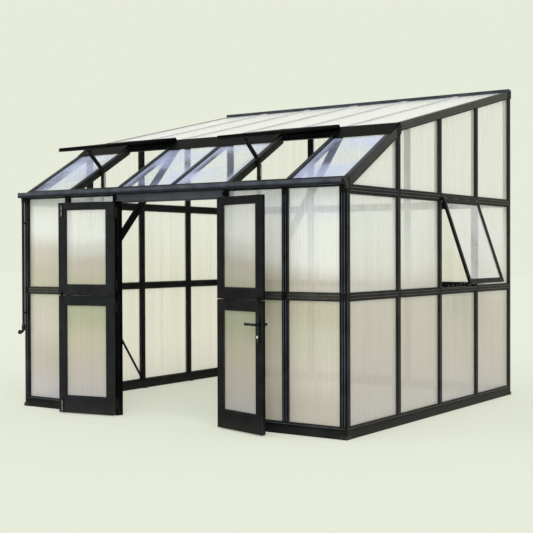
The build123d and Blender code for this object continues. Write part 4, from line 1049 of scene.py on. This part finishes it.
def roofGaskets():
    lower, upper = bmesh.new(), bmesh.new()
    wide, tuck, cover = roofTrim["gasket"], roofTrim["tuck"], house["cover"]
    halfBars = [house["rafter"] / 2] * len(rafterXs)
    halfBars[0] = halfBars[-1] = roofTrim["endHalf"]
    for i in range(len(rafterXs) - 1):
        x0, x1 = rafterXs[i] + halfBars[i], rafterXs[i + 1] - halfBars[i + 1]
        slopes = [(upper, roofTrim["upper"], house["sheet"])]
        if (rafterXs[i], rafterXs[i + 1]) not in ventBars:
            slopes.append((lower, roofTrim["glass"], house["glass"]))
        for bm, (y0, y1), thick in slopes:
            low = cover + thick
            for x, out in ((x0, 1), (x1, -1)):
                edge, lip = x - tuck * out, x + wide * out
                addSlopeBar(bm, [(edge, -cover), (lip, -cover), (lip, roofTrim["gasketTop"] - cover),
                                 (edge, -roofTrim["gasketRise"])], y0, y1)
                addSlopeBar(bm, [(edge, -low), (lip, -low), (lip, -low - roofTrim["gasketUnder"]),
                                 (edge, -low - roofTrim["gasketDrop"])], y0, y1)
    makePiece("lower_roof_gaskets", lower, blackRubber, "root")
    makePiece("upper_roof_gaskets", upper, greyRubber, "root")


roofCaps()
roofGaskets()

# raised lines along the sections, as extruded bars have; offsets are from the section's own edge or middle
ribs = {
    "height": 0.0016, "half": 0.0026, "foot": 0.0006, "sillEnd": 0.012, "sillDrop": 0.006,
    "cornerMiddle": 0.03, "postPair": (-0.011, 0.011), "cornerPair": (-0.009, 0.013),
    "postSpans": ((0.1, 1.06), (1.122, 1.89)), "railEnd": 0.004, "midUp": 0.014, "midDown": 0.012,
    "eaveUp": 0.016, "eaveDown": 0.014, "slopeDrops": (0.012, 0.03, 0.05),
    "slopeSpans": ((0.12, 0.83), (0.91, 3.19)), "slopeClear": 0.006, "headerUps": (0.006, 0.05), "headerPast": 0.02,
}


def addRib(bm, wall, start, end):
    # start and end are (along, height) on a wall; the rib stands out from the outer face
    place = onWall(wall)
    h, w = ribs["height"], ribs["half"]
    (u0, z0), (u1, z1) = start, end
    along = Vector((u1 - u0, z1 - z0)).normalized()
    side = Vector((-along.y, along.x))
    outline = [(-w, ribs["foot"]), (-w * 0.5, -h), (w * 0.5, -h), (w, ribs["foot"])]
    addLoft(bm, [[place(u + side.x * a, d, z + side.y * a) for a, d in outline] for u, z in (start, end)])


def sectionRibs():
    front, ends = bmesh.new(), bmesh.new()
    width, depth, short, middle = house["width"], house["depth"], ribs["sillEnd"], ribs["cornerMiddle"]
    meshOf = {"front": front, "right": ends, "left": ends}
    sills = {"front": [(short, doorLeft - short), (doorRight + short, width - short)],
             "right": [(short, depth - short)], "left": [(short, depth - short)]}
    sideCorners = (middle, depth - middle)
    corners = {"front": (middle, width - middle), "right": sideCorners, "left": sideCorners}
    posts = {"front": [house["frontStud"], barXs[-1]], "right": sidePostYs, "left": [depth - y for y in sidePostYs]}
    sillZ = house["sill"] - ribs["sillDrop"]
    for wall, places in sills.items():
        for u0, u1 in places:
            addRib(meshOf[wall], wall, (u0, sillZ), (u1, sillZ))
    # a pair of lines up each post
    for wall, (first, last) in corners.items():
        for u in [first] + posts[wall] + [last]:
            pair = ribs["cornerPair"] if u in (first, last) else ribs["postPair"]
            for z0, z1 in ribs["postSpans"]:
                for across in pair:
                    addRib(meshOf[wall], wall, (u + across, z0), (u + across, z1))
    # rails and sloping bars of the end walls
    midLines = (house["midLow"] + ribs["midUp"], house["midHigh"] - ribs["midDown"])
    eaveLines = (house["railLow"] + ribs["eaveUp"], house["railHigh"] - ribs["eaveDown"])
    for wall in ("right", "left"):
        for u0, u1 in sideBays:
            a, b = (u0, u1) if wall == "right" else (depth - u1, depth - u0)
            for z in midLines + eaveLines:
                addRib(ends, wall, (a + ribs["railEnd"], z), (b - ribs["railEnd"], z))
        for drop in ribs["slopeDrops"]:
            for span in ribs["slopeSpans"]:
                line = [(y, roofZ(y, drop)) for y in span]
                if wall == "left":
                    line = [(depth - y, z) for y, z in line]
                if min(z for y, z in line) > house["railHigh"] + ribs["slopeClear"]:
                    addRib(ends, wall, *line)
    for u0, u1 in frontBays:
        for z in midLines:
            addRib(ends, "front", (u0 + ribs["railEnd"], z), (u1 - ribs["railEnd"], z))
    for up in ribs["headerUps"]:
        z = house["headerLow"] + up
        addRib(front, "front", (doorLeft - ribs["headerPast"], z), (doorRight + ribs["headerPast"], z))
    # the lines carry painted highlights, bluish on the front wall and brownish on the end walls; the line along each
    # sill is a painted reflection
    makePiece("front_section_lines", front, paintedHighlightFrontLines, "root")
    makePiece("end_section_lines", ends, paintedHighlightSideLines, "root")


sectionRibs()

# screws where rails, posts and sills meet, outside and inside, and the buffers that catch the open leaves
joints = {"screw": (0.0046, 0.0024), "inset": 0.014, "midZ": 1.091, "eaveZ": 1.922, "sillIn": 0.05,
          "sillOutside": 0.04, "sillInside": 0.045, "headerXs": (1.163, 2.347), "headerZs": (1.905, 1.936),
          "headerScrew": (0.0045, 0.0022)}
buffers = {"xs": (1.058, 2.45), "z": 1.9445,
           "profile": [(-0.002, 0.0085), (0.01, 0.0085), (0.0155, 0.0065), (0.017, 0.003)]}


def jointScrews():
    outside, inside = bmesh.new(), bmesh.new()
    inset, deep, screw, sillIn = joints["inset"], house["post"], joints["screw"], joints["sillIn"]
    bothRails = (joints["midZ"], joints["eaveZ"])
    rows = {"front": (frontBays, (joints["midZ"],)), "right": (sideBays, bothRails), "left": (sideBays, bothRails),
            "back": (backBays, bothRails)}
    for wall, (bays, heights) in rows.items():
        place = onWall(wall)
        outward = place(0, -1, 0) - place(0, 0, 0)
        for u0, u1 in bays:
            if wall == "left":
                u0, u1 = house["depth"] - u1, house["depth"] - u0
            spots = [(u, z, z) for z in heights for u in (u0 + inset, u1 - inset)]
            sillUs = (u0 + sillIn, (u0 + u1) / 2, u1 - sillIn)
            spots += [(u, joints["sillOutside"], joints["sillInside"]) for u in sillUs]
            for u, outerZ, innerZ in spots:
                if wall != "back":
                    addScrew(outside, place(u, 0, outerZ), outward, screw)
                addScrew(inside, place(u, deep, innerZ), -outward, screw)
    for x in joints["headerXs"]:
        for z in joints["headerZs"]:
            addScrew(outside, (x, 0, z), forward, joints["headerScrew"])
    makePiece("outer_joint_screws", outside, blackHardware, "root", smooth=True)
    makePiece("inner_joint_screws", inside, blackHardware, "root", smooth=True)


def leafBuffers():
    bm = bmesh.new()
    for x in buffers["xs"]:
        addTurned(bm, (x, house["setback"], buffers["z"]), forward, buffers["profile"], sides=20)
    makePiece("leaf_buffers", bm, blackRubber, "root", smooth=True)


jointScrews()
leafBuffers()
print("roof trim, section lines and screws")

# gutter straps, the sleeve over its joint, and ties from the front lip to the beam
gutter = {"front": -0.072, "low": 1.953, "high": 2.001, "strap": 0.0016, "strapWidth": 0.016, "hook": 0.006,
          "hookDrop": 0.004, "hookRound": 0.4, "sleeve": 0.07, "sleeveX": 2.055, "tieHalf": 0.008, "tieIn": 0.004,
          "tieLow": 0.0055, "tieHigh": 0.003, "tieEdge": 0.0008}


def gutterFittings():
    bm = bmesh.new()
    f, lo, hi, t = gutter["front"], gutter["low"], gutter["high"], gutter["strap"]
    hookY = f + gutter["hook"]
    outline = [(0.0, lo), (f, lo), (f, hi - gutter["hookDrop"]), (hookY, hi), (hookY, hi + t),
               (f - t, hi + t * gutter["hookRound"]), (f - t, lo - t), (0.0, lo - t)]
    for x, width in [(x, gutter["strapWidth"]) for x in barXs] + [(gutter["sleeveX"], gutter["sleeve"])]:
        addAlongX(bm, outline, x - width / 2, x + width / 2)
    for x in barXs:
        addSoftBox(bm, (x - gutter["tieHalf"], f + gutter["tieIn"], hi - gutter["tieLow"]),
                   (x + gutter["tieHalf"], 0.0, hi - gutter["tieHigh"]), gutter["tieEdge"])
    # the straps share the gutter's painted light and painted shade
    makePiece("gutter_straps", bm, paintedLitAndShadedGutter, "root")


# rounded end that turns from the gutter's right end down the corner post
elbow = {"out": 0.0045, "y": -0.036, "z": 1.982, "radius": 0.03, "flatten": 0.55, "steps": 8, "tail": 0.03,
         "section": [(-0.02, 0.006), (-0.012, 0.01), (0.012, 0.01), (0.02, 0.006), (0.02, 0.0), (-0.02, 0.0)]}


def gutterElbow():
    bm, rings = bmesh.new(), []
    start = Vector((house["width"] + elbow["out"], elbow["y"], elbow["z"]))
    for i in range(elbow["steps"] + 1):
        a = (i / elbow["steps"]) * math.pi / 2
        centre = start + Vector((elbow["radius"] * math.sin(a) * elbow["flatten"], 0,
                                 -elbow["radius"] * (1 - math.cos(a))))
        outward = Vector((math.sin(a), 0, math.cos(a)))
        rings.append([centre + outward * d + Vector((0, y, 0)) for y, d in elbow["section"]])
    rings.append([p - Vector((0, 0, elbow["tail"])) for p in rings[-1]])
    addLoft(bm, rings)
    makePiece("gutter_elbow", bm, blackPlastic, "root", smooth=True)


# downpipe: socket, swell at the joint, two clips and the foot; profiles are (along, over the pipe's radius)
pipe = {
    "x": 0.027, "y": -0.036, "radius": 0.0125, "socketUp": 0.0005, "swellZ": 0.745, "bootY": -0.088, "bootZ": 0.7,
    "socket": [(0, -0.001), (0, 0.004), (0.004, 0.0045), (0.022, 0.0025), (0.04, 0.0025), (0.042, 0.001),
               (0.042, -0.001)],
    "swell": [(-0.03, -0.0006), (-0.03, 0.0012), (-0.02, 0.005), (0.004, 0.0062), (0.02, 0.004), (0.026, 0.0008),
              (0.026, -0.0006)],
    "boot": [(-0.024, -0.001), (-0.022, 0.004), (-0.012, 0.0075), (-0.002, 0.0075), (0.003, 0.005), (0.003, -0.002),
             (-0.004, -0.004)],
    "clipZs": (1.72, 0.88), "arm": (0.006, 0.008), "armEdge": 0.0012, "pad": (0.013, 0.012), "padOut": 0.004,
    "padEdge": 0.0014, "padIn": 0.0005,
}


def pipeFittings():
    bm = bmesh.new()
    x, y, radius, wallY = pipe["x"], pipe["y"], pipe["radius"], pipe["padIn"]

    def addCollar(centre, axis, profile):
        addTurned(bm, centre, axis, [(a, radius + b) for a, b in profile], sides=28, isRing=True)

    addCollar((x, y, gutter["low"] + pipe["socketUp"]), downward, pipe["socket"])
    addCollar((x, y, pipe["swellZ"]), upward, pipe["swell"])
    for z in pipe["clipZs"]:
        a, b = pipe["arm"]
        addSoftBox(bm, (x - a, y + radius, z - b), (x + a, wallY, z + b), pipe["armEdge"])
        a, b = pipe["pad"]
        addSoftBox(bm, (x - a, -pipe["padOut"], z - b), (x + a, wallY, z + b), pipe["padEdge"])
    addCollar((x, pipe["bootY"], pipe["bootZ"]), forward, pipe["boot"])
    makePiece("pipe_socket_and_clips", bm, blackPlastic, "root", smooth=True)


gutterFittings()
gutterElbow()
pipeFittings()

# bolts on the end plates, corner shoes and braces; sizes are (radius, height)
plates = {
    "thick": 0.004, "bolt": (0.0072, 0.005), "clear": 0.008,
    "bolts": ((0.842, 2.475), (0.888, 2.475), (0.865, 2.437), (3.215, 3.03), (3.253, 3.03), (3.234, 2.993)),
    "shoeBolt": (0.0055, 0.004), "shoeIn": 0.03, "shoeZ": 0.015, "kneeBolt": (0.0065, 0.005),
    "kneeXs": (1.15, 2.945), "kneeYs": (0.085, 0.8), "kneeHalf": 0.015, "kneeFootZ": 1.555, "kneeTopZ": 2.422,
    "braceBolt": (0.005, 0.004), "braceX": 0.062, "braceBolts": ((1.605, 0.115), (0.91, 1.068)),
}


def plateBolts():
    bm = bmesh.new()
    out, shoeIn, shoeZ = plates["thick"], plates["shoeIn"], plates["shoeZ"]
    faceX = house["width"] + out
    for y, z in plates["bolts"]:
        if z < roofZ(y) - plates["clear"]:
            addHexBolt(bm, (faceX, y, z), rightward, plates["bolt"])
    for x in (shoeIn, house["width"] - shoeIn):
        addHexBolt(bm, (x, -out, shoeZ), forward, plates["shoeBolt"])
    for y in (shoeIn, house["depth"] - shoeIn):
        addHexBolt(bm, (faceX, y, shoeZ), rightward, plates["shoeBolt"])
    steep = math.atan((plates["kneeTopZ"] - plates["kneeFootZ"]) / (house["kinkY"] - house["post"]))
    for x in plates["kneeXs"]:
        for y in plates["kneeYs"]:
            z = plates["kneeFootZ"] + (y - house["post"]) * math.tan(steep)
            for side in (-1, 1):
                addHexBolt(bm, (x + side * plates["kneeHalf"], y, z), (side, 0, 0), plates["kneeBolt"])
    for y, z in plates["braceBolts"]:
        addHexBolt(bm, (plates["braceX"], y, z), rightward, plates["braceBolt"])
    makePiece("plate_bolts", bm, blackHardware, "root", smooth=True)


plateBolts()

# angle cleats inside, where the posts stand on the sills and meet the rails
cleat = {"leg": 0.034, "wide": 0.03, "thick": 0.003, "tuck": 0.0002, "hole": 0.6, "screw": (0.0045, 0.0022),
         "bolt": (0.0055, 0.0045), "windowMiddle": 1.65, "windowReach": 0.7}


def innerCleats():
    bm, screws = bmesh.new(), bmesh.new()
    leg, t, half = cleat["leg"], cleat["thick"], cleat["wide"] / 2
    deep, hole = house["post"], cleat["leg"] * cleat["hole"]
    posts = {"left": [house["depth"] - y for y in sidePostYs], "right": sidePostYs, "back": house["backPosts"]}
    for wall, places in posts.items():
        place = onWall(wall)
        outward = place(0, -1, 0) - place(0, 0, 0)
        for u in places:
            for z, up in ((0.0, 1), (house["midHigh"], 1), (house["railLow"], -1)):
                onSill = z == 0.0
                if wall == "right" and not onSill and abs(u - cleat["windowMiddle"]) > cleat["windowReach"]:
                    continue
                reach = deep + (leg if onSill else t)
                outline = [(deep - cleat["tuck"], 0), (reach, 0), (reach, t), (deep + t, t), (deep + t, leg),
                           (deep - cleat["tuck"], leg)]
                addLoft(bm, [[place(u + a, d, z + up * h) for d, h in outline] for a in (-half, half)])
                addScrew(screws, place(u, deep + t, z + up * hole), -outward, cleat["screw"])
                if onSill:
                    addHexBolt(screws, place(u, deep + hole, t), upward, cleat["bolt"])
    makePiece("inner_cleats", bm, blackFrame, "root")
    makePiece("cleat_screws", screws, blackHardware, "root", smooth=True)


innerCleats()
print("gutter, pipe, bolts and cleats")

# camera, at the photograph's place; angles in degrees, lens in millimetres
eye = {"place": (5.8367, -8.7126, 1.4291), "yaw": -34.5245, "pitch": -0.6897, "roll": -0.186, "lens": 73.93,
       "sensor": 36.0}


def placeCamera(values):
    yaw, pitch, roll = (math.radians(values[key]) for key in ("yaw", "pitch", "roll"))
    ahead = Vector((math.sin(yaw) * math.cos(pitch), math.cos(yaw) * math.cos(pitch), math.sin(pitch)))
    level = Vector((math.cos(yaw), -math.sin(yaw), 0))
    above = level.cross(ahead)
    right = level * math.cos(roll) + above * math.sin(roll)
    up = above * math.cos(roll) - level * math.sin(roll)
    data = bpy.data.cameras.new("photograph view")
    data.lens = values["lens"]
    data.sensor_width = values["sensor"]
    data.sensor_fit = "HORIZONTAL"
    camera = bpy.data.objects.new("photograph view", data)
    bpy.context.scene.collection.objects.link(camera)
    turn = Matrix((right, up, -ahead)).transposed().to_4x4()
    camera.matrix_world = Matrix.Translation(values["place"]) @ turn
    bpy.context.scene.camera = camera


placeCamera(eye)

# floor; part of its colour is its own light, so that it meets the background without an edge
ground = {"colour": (0.799, 0.831, 0.701), "half": 60.0, "ownLight": 0.45, "lit": 0.513, "drop": -0.001}


def layFloor(values):
    bm = bmesh.new()
    half = values["half"]
    corners = boxCorners(-half, half, -half, half)
    bm.faces.new([bm.verts.new((x, y, values["drop"])) for x, y in corners])
    mesh = bpy.data.meshes.new("floor")
    bm.to_mesh(mesh)
    bm.free()
    floor = bpy.data.objects.new("floor", mesh)
    bpy.context.scene.collection.objects.link(floor)
    material, tree, output = startFinish("pale floor")
    matt = node(tree, "ShaderNodeBsdfDiffuse", {"Color": (*[c * values["lit"] for c in values["colour"]], 1)})
    own = node(tree, "ShaderNodeEmission", {"Color": (*values["colour"], 1), "Strength": values["ownLight"]})
    both = node(tree, "ShaderNodeAddShader", {0: matt.outputs[0], 1: own.outputs[0]})
    tree.links.new(both.outputs[0], output.inputs["Surface"])
    mesh.materials.append(material)


layFloor(ground)

# light: an even studio and two broad soft lamps; spread in degrees
studio = {"fill": (0.95, 0.965, 1.0), "fillStrength": 0.74, "background": ground["colour"]}
lamps = [
    {"name": "key", "aim": (-0.55, 0.6, -0.9), "strength": 1.35, "spread": 40, "colour": (1.0, 0.98, 0.95)},
    {"name": "side", "aim": (0.6, 0.5, -0.5), "strength": 0.5, "spread": 60, "colour": (0.95, 0.97, 1.0)},
]


def lightStudio(values):
    # the background shows to the camera, in glass and in metal; the fill light falls on everything
    world = bpy.data.worlds.new("studio")
    world.use_nodes = True
    tree = world.node_tree
    tree.nodes.clear()
    rays = node(tree, "ShaderNodeLightPath")
    seen = maths(tree, "MAXIMUM", rays.outputs["Is Camera Ray"], rays.outputs["Is Transmission Ray"])
    seen = maths(tree, "MAXIMUM", seen, rays.outputs["Is Glossy Ray"])
    fill = node(tree, "ShaderNodeBackground", {"Color": (*values["fill"], 1), "Strength": values["fillStrength"]})
    shown = node(tree, "ShaderNodeBackground", {"Color": (*values["background"], 1), "Strength": 1.0})
    both = node(tree, "ShaderNodeMixShader", {0: seen, 1: fill.outputs[0], 2: shown.outputs[0]})
    node(tree, "ShaderNodeOutputWorld", {"Surface": both.outputs[0]})
    bpy.context.scene.world = world
    for lamp in lamps:
        data = bpy.data.lights.new(lamp["name"], "SUN")
        data.energy = lamp["strength"]
        data.angle = math.radians(lamp["spread"])
        data.color = lamp["colour"]
        made = bpy.data.objects.new(lamp["name"], data)
        made.rotation_euler = Vector(lamp["aim"]).to_track_quat("-Z", "Y").to_euler()
        bpy.context.scene.collection.objects.link(made)


lightStudio(studio)
bpy.context.scene.view_settings.view_transform = "Standard"
print("camera, floor and light set")
